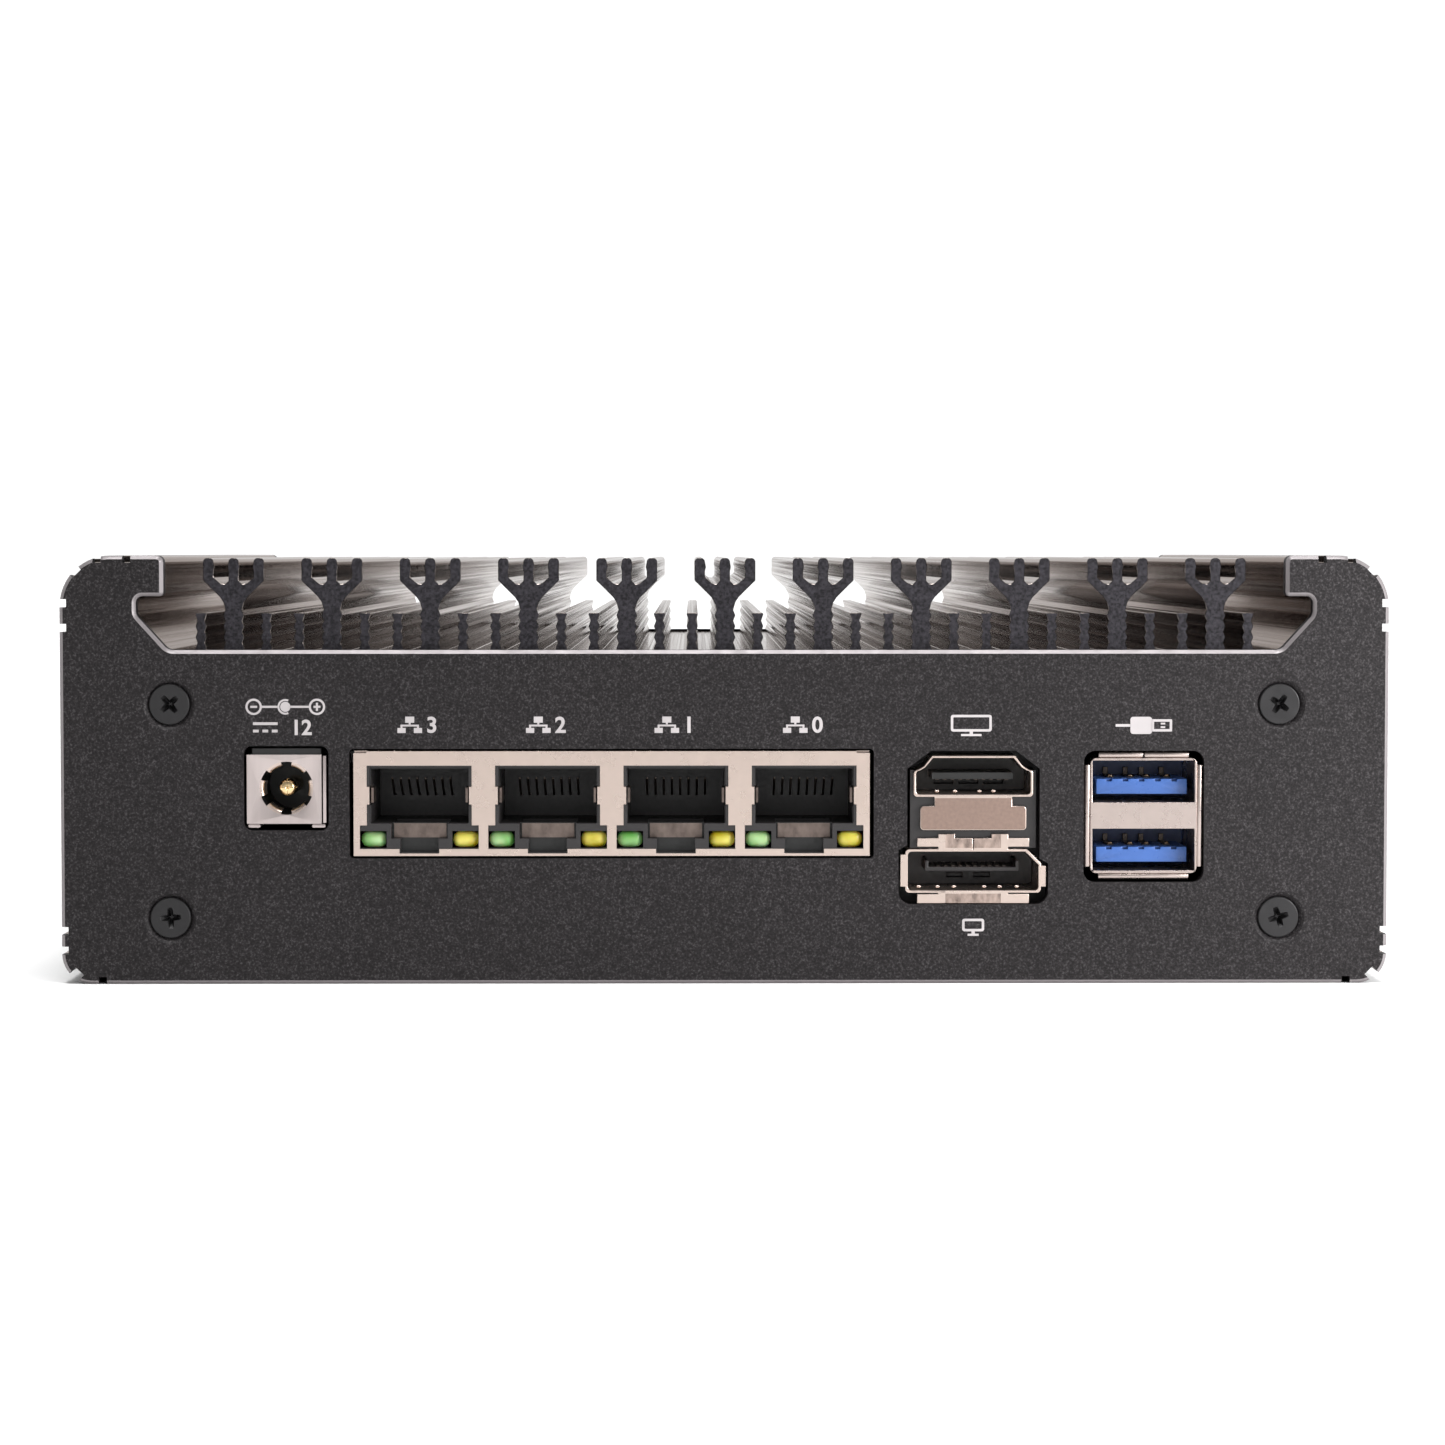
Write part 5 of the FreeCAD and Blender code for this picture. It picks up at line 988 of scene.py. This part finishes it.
def polarity_mark(made, x, z):
    """Sleeve negative, centre pin positive."""
    ring = 3.85
    line = 0.13
    for side in (-1, 1):
        ink_ring(made, x + side * ring, z, 1.0, 0.74)
        ink_box(made, x + side * ring - 0.42, x + side * ring + 0.42, z - line, z + line)
    for low, high in ((line, 0.5), (-0.5, -line)):
        ink_box(made, x + ring - line, x + ring + line, z + low, z + high)
    ink(made, circle(x, z, 0.62, 28))
    cup = arc(x, z, 0.95, 65.0, 230.0, 20) + arc(x, z, 0.72, 295.0, -230.0, 20)
    ink(made, cup)
    ink_box(made, x - ring + 0.97, x - 0.9, z - line, z + line)
    ink_box(made, x + 0.55, x + ring - 0.97, z - line, z + line)


def direct_current_mark(made, x, z):
    """A solid line over three dashes."""
    ink_box(made, x - 1.5, x + 1.5, z + 0.28, z + 0.62)
    for step in (-1, 0, 1):
        ink_box(made, x + step * 1.15 - 0.35, x + step * 1.15 + 0.35, z - 0.62, z - 0.28)


def network_mark(made, x, z):
    """Three boxes joined by lines."""
    ink_box(made, x - 0.55, x + 0.55, z + 0.25, z + 1.0)
    ink_box(made, x - 0.12, x + 0.12, z - 0.05, z + 0.25)
    ink_box(made, x - 1.12, x + 1.12, z - 0.2, z + 0.02)
    for side in (-1, 1):
        ink_box(made, x + side * 1.0 - 0.12, x + side * 1.0 + 0.12, z - 0.4, z - 0.2)
        ink_box(made, x + side * 1.0 - 0.5, x + side * 1.0 + 0.5, z - 1.0, z - 0.38)


def screen_mark(made, x, z, half_wide, half_high):
    """A monitor on its stand."""
    stroke = 0.3
    low, high = z - half_high + 0.55, z + half_high
    left, right = x - half_wide, x + half_wide
    ink(made, rounded_box(left, right, low, high, 0.3),
        [rounded_box(left + stroke, right - stroke, low + stroke, high - stroke, 0.12)])
    ink_box(made, x - 0.2, x + 0.2, low - 0.3, low)
    ink_box(made, x - half_wide * 0.5, x + half_wide * 0.5, z - half_high, z - half_high + 0.26)


def plug_mark(made, x, z):
    """A flat two-slot plug on its lead."""
    ink(made, rounded_box(x + 0.9, x + 3.4, z - 0.75, z + 0.75, 0.12),
        [sharp_box(x + 1.2, x + 3.1, z - 0.45, z + 0.45)])
    for side in (-1, 1):
        ink_box(made, x + 2.0, x + 2.55, z + side * 0.22 - 0.11, z + side * 0.22 + 0.11)
    ink(made, rounded_box(x - 1.7, x + 0.95, z - 1.05, z + 1.05, 0.35))
    ink_box(made, x - 3.5, x - 1.65, z - 0.16, z + 0.16)


def power_mark(made, x, z):
    ink(made, arc(x, z, 1.25, 120.0, 300.0, 28) + arc(x, z, 0.95, 60.0, -300.0, 28))
    ink_box(made, x - 0.15, x + 0.15, z + 0.3, z + 1.5)


def port_marks():
    made = bmesh.new()
    inlet = mount_spot("power_in")
    polarity_mark(made, inlet.x - 0.05, POLARITY_HEIGHT)
    direct_current_mark(made, inlet.x - 2.5, CURRENT_HEIGHT)
    ink_digit(made, "12", inlet.x + 1.9, CURRENT_HEIGHT, 1.9)
    for number, port in enumerate(port_centres()):
        network_mark(made, port - 1.1, NETWORK_HEIGHT)
        ink_digit(made, str(3 - number), port + 1.6, NETWORK_HEIGHT, 2.0)
    screen_mark(made, mount_spot("video_upper").x - 0.3, PICTURE_HEIGHT, 2.5, 1.3)
    screen_mark(made, mount_spot("video_lower").x, LOW_SCREEN_HEIGHT, 1.35, 1.05)
    plug_mark(made, mount_spot("rear_bus_upper").x, PICTURE_HEIGHT)
    add_piece("port_marks", made, ("print",), PORT_SIDE)


def button_marks():
    """The same kind of marks on the hidden side; x runs the other way there."""
    made = bmesh.new()
    button = node_box("power_button_cap")
    power_mark(made, -(button[0].x + button[1].x) / 2, CONTROL_HEIGHT)
    plug_mark(made, -mount_spot("front_bus_upper").x, PICTURE_HEIGHT)
    reset = node_box("reset_switch_plunger")
    ink_ring(made, -(reset[0].x + reset[1].x) / 2, CONTROL_HEIGHT, 0.8, 0.55)
    low, high = node_box("status_light_pipes")
    square_x = -high.x + PIPE_INSET
    ring_x = -low.x - PIPE_INSET
    ink_box(made, square_x - 0.7, square_x + 0.7, 32.8, 34.0)
    ink(made, circle(ring_x, CONTROL_HEIGHT, 0.7, 28), [circle(ring_x, CONTROL_HEIGHT, 0.42, 28)])
    add_piece("button_marks", made, ("print",), BUTTON_SIDE)


# ---------------------------------------------------------------- controls

def power_button():
    """A turned cap: a dished face inside a polished rim."""
    low, high = node_box("power_button_cap")
    x, z = -(low.x + high.x) / 2, (low.z + high.z) / 2
    top, bottom = BUTTON_SIDE.inverted() @ high, BUTTON_SIDE.inverted() @ low
    proud = min(top.y, bottom.y)
    made = bmesh.new()
    profile = [(0.22, 0.0), (0.2, 1.6), (0.14, 2.9), (0.05, 3.15), (0.0, 3.3), (0.03, 3.5), (0.16, 3.7),
               (0.35, 3.8), (2.6, 3.8), (2.6, 4.7), (3.2, 4.7), (3.2, 1.4), (5.1, 1.4), (5.1, 0.0)]
    add_lathe(made, (x, proud, z), (0, 1, 0), profile, steps=72)
    add_piece("button_cap", made, ("brushed",), BUTTON_SIDE, body="power_button",
              replaces=("power_button_cap",))


# ---------------------------------------------------------------- surroundings

def make_floor():
    mesh = bpy.data.meshes.new("floor")
    half = 6.0
    corners = [(-half, -half, 0), (half, -half, 0), (half, half, 0), (-half, half, 0)]
    mesh.from_pydata(corners, [], [(0, 1, 2, 3)])
    floor = bpy.data.objects.new("floor", mesh)
    bpy.context.scene.collection.objects.link(floor)
    shader = Shader("pale_floor", (0.93, 0.93, 0.93), roughness=0.9, Specular_IOR_Level=0.1)
    mesh.materials.append(shader.material)


def make_world():
    """White where the camera sees it; for the light, a dim room that is brighter at both ends."""
    world = bpy.data.worlds.new("studio")
    bpy.context.scene.world = world
    world.use_nodes = True
    tree = world.node_tree
    background = tree.nodes["Background"]
    heading = tree.nodes.new("ShaderNodeTexCoord")
    parts = tree.nodes.new("ShaderNodeSeparateXYZ")
    tree.links.new(heading.outputs["Generated"], parts.inputs["Vector"])
    spread = tree.nodes.new("ShaderNodeMapRange")
    spread.inputs["From Min"].default_value = -1.0
    tree.links.new(parts.outputs["Y"], spread.inputs["Value"])
    ramp = tree.nodes.new("ShaderNodeValToRGB")
    stops = ((0.0, 0.74), (0.03, 0.74), (0.09, 0.28), (0.5, 0.28), (0.66, 0.8), (0.85, 1.0))
    elements = ramp.color_ramp.elements
    while len(elements) < len(stops):
        elements.new(0.5)
    for element, (place, level) in zip(elements, stops):
        element.position = place
        element.color = (level, level, level, 1.0)
    tree.links.new(spread.outputs["Result"], ramp.inputs["Fac"])
    seen = tree.nodes.new("ShaderNodeLightPath")
    white = tree.nodes.new("ShaderNodeMix")
    white.data_type = "RGBA"
    white.inputs[MIX_SECOND].default_value = (1.0, 1.0, 1.0, 1.0)
    tree.links.new(seen.outputs["Is Camera Ray"], white.inputs["Factor"])
    tree.links.new(ramp.outputs["Color"], white.inputs[MIX_FIRST])
    tree.links.new(white.outputs[MIX_RESULT], background.inputs["Color"])
    background.inputs["Strength"].default_value = 1.06


def overhead_light():
    """Wide, even light from above and a little in front, which keeps the floor white."""
    lamp = bpy.data.lights.new("overhead", "SUN")
    lamp.energy = 2.6
    lamp.angle = math.radians(25.0)
    holder = bpy.data.objects.new("overhead", lamp)
    holder.rotation_euler = (math.radians(14.0), 0.0, 0.0)
    bpy.context.scene.collection.objects.link(holder)


def area_light(name, place, target, size, power):
    lamp = bpy.data.lights.new(name, "AREA")
    lamp.shape = "RECTANGLE"
    lamp.size, lamp.size_y = size
    lamp.energy = power
    holder = bpy.data.objects.new(name, lamp)
    holder.location = place
    aim = Vector(target) - Vector(place)
    holder.rotation_euler = aim.to_track_quat("-Z", "Y").to_euler()
    bpy.context.scene.collection.objects.link(holder)


def make_camera():
    """Level with the top of the case, just left of centre, a long lens looking slightly down."""
    data = bpy.data.cameras.new("camera")
    data.sensor_width = 36.0
    data.lens = 93.4
    camera = bpy.data.objects.new("camera", data)
    sideways = -0.0039
    distance = 0.4565
    height = 0.0527
    camera.location = (sideways, PORT_SIDE.translation.y * MM - distance, height)
    pitch = math.radians(90.0 - 2.6)
    yaw = math.radians(-0.45)
    camera.rotation_euler = (pitch, 0.0, yaw)
    bpy.context.scene.collection.objects.link(camera)
    bpy.context.scene.camera = camera


finish_nodes()
case_pieces()
inlet_shell()
inlet_pin()
inlet_core()
network_ports()
video_ports()
serial_stacks()
port_marks()
button_marks()
power_button()
make_floor()
make_world()
overhead_light()
area_light("key", (0.24, -0.21, 0.10), (0.08, -0.06, 0.03), (0.12, 0.12), 0.85)
make_camera()
bpy.context.scene.view_settings.view_transform = "Standard"
